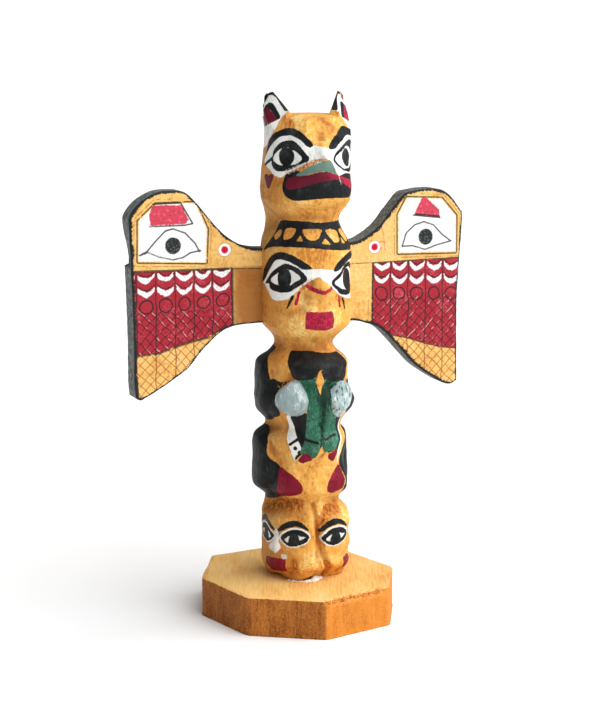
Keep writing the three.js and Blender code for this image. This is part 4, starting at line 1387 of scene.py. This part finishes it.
def wing_finish(side):
    art = WING_ART[side]
    finish = Finish(f"painted_{side}_wing")
    mix, noise, value, coat = finish.mix, finish.noise, finish.value, finish.coat
    fibres = bare_wood(finish, (0.1, 1, 1.4), WING_WOOD, WING_WOOD_MIDDLE, WING_WOOD_DARK)
    wood = finish.colour
    blots = noise(0.5, 3)
    fine = noise(0.2, 2)
    clouds = noise(4.5, 3)
    wobble = blots * 0.3 + fine * 0.25
    across, up = value("across"), value("up")
    u = across + (noise(5.5, 1) * 1.1 + blots * 0.3)
    z = up + (noise(6, 1, (1.3, 1, 1)) * 1.1 + fine * 0.3)
    # a painted shadow of the pole on the wood near it, darkest below the rule
    if art["pole_shadow"]:
        inward = (across + clouds * 8).step(POLE_SHADOW_TO, POLE_SHADOW_TO - 8)
        coat(POLE_SHADOW_WOOD, inward * (up.step(POLE_SHADOW_UNDER + 1, POLE_SHADOW_UNDER) * 0.74 + 0.1))

    def line(distance, width, colour, strength, breaks):
        """A drawn line with gaps in it, fewer where breaks is larger."""
        mask = (distance + fine * 0.3).step(width / 2 + 0.07, width / 2 - 0.07)
        coat(colour, mask * noise(1.6, 2).step(breaks, breaks - 0.12) * strength)

    panel = value("panel")
    coat(PAPER_WHITE, (panel + blots * 1.2).step(0.0, -0.25))
    line(abs(panel - 0.35), 0.42, INK, 0.9, 0.2)
    line(abs(panel - 1.25), 0.26, SEPIA, 0.7, 0.08)
    rose = mix(noise(0.9, 4).step(0.02, 0.2), ROSE, ROSE_LIGHT)
    rose = mix(noise(1.1, 4, (1, 1, 2)).step(-0.06, -0.22), rose, ROSE_DARK)
    coat(rose, (value("red") + blots).step(0.1, -0.15) * 0.94)
    line(value("ink"), 0.44, INK, 0.94, 0.3)
    scribble = mix(noise(0.5, 2).step(0.02, 0.2), PUPIL_BLACK, PUPIL_GREY)
    coat(scribble, (value("pupil") + wobble).step(0.1, -0.1))
    dot = value("dot")
    coat(PAPER_WHITE, (dot + wobble).step(1.95, 1.8))
    coat(ROSE, (dot + wobble).step(1.15, 0.95))
    line(abs(dot - 2.0), 0.2, SEPIA, 0.6, 0.2)

    # the red block
    block = value("block")
    inside = (block + wobble).step(0.1, -0.1)
    red = mix((clouds + blots).step(0.0, 0.4), BLOCK_RED, BLOCK_RED_LIGHT)
    coat(red, inside * (noise(1.1, 4) + clouds * 0.4).step(0.34, 0.26))
    in_block = block.step(0.05, -0.05)

    # two ways of hatching over the block's foot and below it, and pale scratches in the block
    hatched = up.step(HATCH_TOP + 0.4, HATCH_TOP) * across.step(DRAWN_FROM, DRAWN_FROM + 0.4)
    hatch_colour = mix(in_block, HATCH_ON_WOOD, HATCH_ON_RED)
    for slant in (u + z, u - z):
        cross = (slant * math.sqrt(0.5)).math("PINGPONG", HATCH_SPACING)
        mask = (cross + fine * 0.2).step(0.22, 0.1) * hatched * noise(2.2, 2).step(-0.22, -0.1)
        coat(hatch_colour, mask * 0.8)
    cross = ((u - z) * math.sqrt(0.5) + 0.3).math("PINGPONG", HATCH_SPACING)
    scratch = cross.step(0.2, 0.06) * in_block * up.step(SCRATCHES_TOP + 2, SCRATCHES_TOP)
    coat(PALE_SCRATCH, scratch * noise(1.8, 3).step(0.0, 0.12) * 0.75)

    # the columns: `local` runs from each one's middle to its edges, and `level` leans with the drawing
    half = art["pitch"] / 2
    local = (u - (art["inner"] + half)).math("PINGPONG", half)
    level = z + (u - 36.0) * art["slope"]
    in_columns = up.step(BLOCK_TOP + 0.2, BLOCK_TOP) * across.step(DRAWN_FROM, DRAWN_FROM + 0.3)
    between = (half - local + fine * 0.3).step(0.24, 0.1)
    coat(mix(in_block, SEPIA, INK), between * in_columns * 0.85)
    bow = local * -0.12 + local * local * -0.22
    rise = level + bow + blots * 0.7
    ends = (local + blots * 0.8).step(2.5, 2.3)
    white = mix(blots.step(0.02, 0.2), PAPER_WHITE, WORN_CHEVRON)
    for row in art["rows"]:
        coat(INK, abs(rise - (row + 2.1)).step(0.26, 0.12) * ends * in_block * 0.9)
        brush = abs(rise - (row + 0.85)) + noise(2.6, 2) * 1.3
        coat(white, brush.step(0.8, 0.62) * ends * in_block)
    low = level - art["rings"]
    ring = abs((low * low + local * local).math("SQRT") - 1.9)
    coat(INK, ring.step(0.3, 0.15) * in_block * 0.9)
    line(abs(block - 0.1), 0.3 + art["foot_line"], INK, 0.8, 0.2)
    line(value("rule"), 0.28, INK, 0.75, 0.2)
    line(value("pen"), 0.34, ROSE, 0.7, 0.2)

    # bare at the back, and black and grey along the edges
    front = value("front").step(0.4, 0.6)
    finish.colour = mix(front, wood, finish.colour)
    edge_line = (value("rim") + (blots + clouds) * 1.3).step(0.8, 0.6)
    band = value("band").step(0.2, 0.6)
    greyed = noise(0.9, 5, (1, 1, 0.7), 0.7).step(-0.2, 0.16) * band
    blackened = edge_line.math("MAXIMUM", band) * across.step(BLACKENED_FROM, BLACKENED_FROM + 1)
    coat(mix(greyed, EDGE_BLACK, EDGE_GREY), blackened)
    return finish.close(clouds * 0.3 + 0.6, fibres + noise(0.35, 2) * 0.05 + inside * front * 0.05)


BASE_GRAIN = 22.0  # degrees from +Y to the grain on the base's top
SHADED_FACING = -6.2  # the sides that face further left than this azimuth get painted shade
BASE_PALE = rgb(247, 210, 150)
BASE_HONEY = rgb(238, 190, 112)
BASE_BROWN = rgb(220, 152, 76)
BASE_END = rgb(210, 130, 46)
BASE_END_DARK = rgb(172, 94, 30)
BASE_END_LIGHT = rgb(236, 168, 82)
BASE_SHADED_DARK = rgb(112, 54, 14)
BASE_SHADED_LIGHT = rgb(186, 114, 48)
BASE_TORN = rgb(212, 112, 34)


def base_wood():
    finish = Finish("base_wood")
    mix, noise, value, coat = finish.mix, finish.noise, finish.value, finish.coat
    grain = {"Vector": finish.place, "Angle": math.radians(BASE_GRAIN)}
    finish.place = finish.node("ShaderNodeVectorRotate", grain, rotation_type="Z_AXIS")
    tear, away = value("tear"), value("away")

    fibres = noise(0.6, 4, (1, 1, 0.09), 0.6)
    tone = fibres * 0.45 + (noise(3.2, 3, (1, 1, 0.4)) * 0.7 + noise(0.4, 3, (1, 1, 0.7)) * 1.1)
    finish.colour = mix(tone.step(-0.4, 0.05), BASE_END_DARK, BASE_END)
    coat(BASE_END_LIGHT, tone.step(0.08, 0.45))
    # painted shade on the sides that face left, away from the light
    left_shade = mix(tone.step(-0.3, 0.3), BASE_SHADED_DARK, BASE_SHADED_LIGHT)
    coat(left_shade, value("facing").step(SHADED_FACING, SHADED_FACING - 1.2) * 0.85)
    coat(BASE_END_LIGHT, (tear + noise(0.6, 3) * 1.6).step(0.3, 0.9) * 0.7)

    lines = noise(0.45, 3, (1, 0.05, 1), 0.6)
    wide = noise(9, 2, (1, 0.4, 1))
    tone = lines + wide * 1.2
    over = mix(tone.step(-0.45, 0.0), BASE_BROWN, BASE_HONEY)
    over = mix(tone.step(-0.05, 0.4), over, BASE_PALE)
    top = value("top").step(0.3, 0.7)
    coat(over, top)
    coat(BASE_BROWN, (away + noise(0.8, 3) * 1.2).step(0.9, 0.3) * top * 0.45)

    chipped = (away + noise(1.1, 4) * 6.0).step(2.2, 1.2) * tear.step(0.2, 0.8)
    coat(mix(noise(0.5, 3).step(-0.05, 0.12), BASE_TORN, BASE_END_LIGHT), chipped * 0.85)
    coat(BASE_END_DARK, noise(0.4, 2).step(0.2, 0.3) * (1 - top) * 0.35)
    return finish.close(wide * 0.2 + 0.62, mix(top, fibres, lines) * 0.14 + noise(0.3, 2) * 0.05)


GLUE_WHITE = rgb(244, 242, 236)
GLUE_YELLOWED = rgb(216, 206, 190)


def dried_glue():
    finish = Finish("dried_glue")
    clouds = finish.noise(0.9, 3)
    finish.colour = finish.mix(clouds.step(-0.1, 0.2), GLUE_WHITE, GLUE_YELLOWED)
    return finish.close(clouds * 0.3 + 0.3, finish.noise(0.4, 2) * 0.1)


# ---------- floor and light ----------
FLOOR_SIZE = 1400.0
FLOOR_WHITE = 0.95
SKY = 0.27
SUN_STRENGTH = 4.1
SUN_AZIMUTH = 50.0  # degrees from the front, to the right
SUN_HEIGHT = 47.0  # degrees above the floor
SUN_SOFTNESS = 84.0


def make_floor():
    finish = Finish("floor")
    clouds = finish.noise(60, 2)
    white, cooler = (FLOOR_WHITE,) * 3, (FLOOR_WHITE - 0.006, FLOOR_WHITE, FLOOR_WHITE)
    finish.colour = finish.mix(clouds.step(-0.3, 0.3), (*white, 1), (*cooler, 1))
    half = FLOOR_SIZE / 2
    corners = [(-half, -half, 0), (half, -half, 0), (half, half, 0), (-half, half, 0)]
    mesh = bpy.data.meshes.new("floor")
    mesh.from_pydata(corners, [], [(0, 1, 2, 3)])
    mesh.materials.append(finish.close(0.9, clouds * 0.01))
    floor = bpy.data.objects.new("floor", mesh)
    bpy.context.scene.collection.objects.link(floor)


def make_light():
    world = bpy.data.worlds.new("studio")
    world.use_nodes = True
    sky = world.node_tree.nodes["Background"]
    sky.inputs["Color"].default_value = (1, 1, 1, 1)
    sky.inputs["Strength"].default_value = SKY
    bpy.context.scene.world = world
    sun = bpy.data.lights.new("window", "SUN")
    sun.energy = SUN_STRENGTH
    sun.angle = math.radians(SUN_SOFTNESS)
    lamp = bpy.data.objects.new("window", sun)
    turn, rise = math.radians(SUN_AZIMUTH), math.radians(SUN_HEIGHT)
    towards = Vector((math.sin(turn) * math.cos(rise), -math.cos(turn) * math.cos(rise), math.sin(rise)))
    lamp.rotation_euler = towards.to_track_quat("Z", "Y").to_euler()
    bpy.context.scene.collection.objects.link(lamp)
    bpy.context.scene.view_settings.view_transform = "Standard"


make_camera()
make_floor()
make_light()
make_base(base_wood())
make_pole(painted_pole())
for wing_side in ("left", "right"):
    make_wing(wing_side, wing_finish(wing_side))
make_glue(dried_glue())
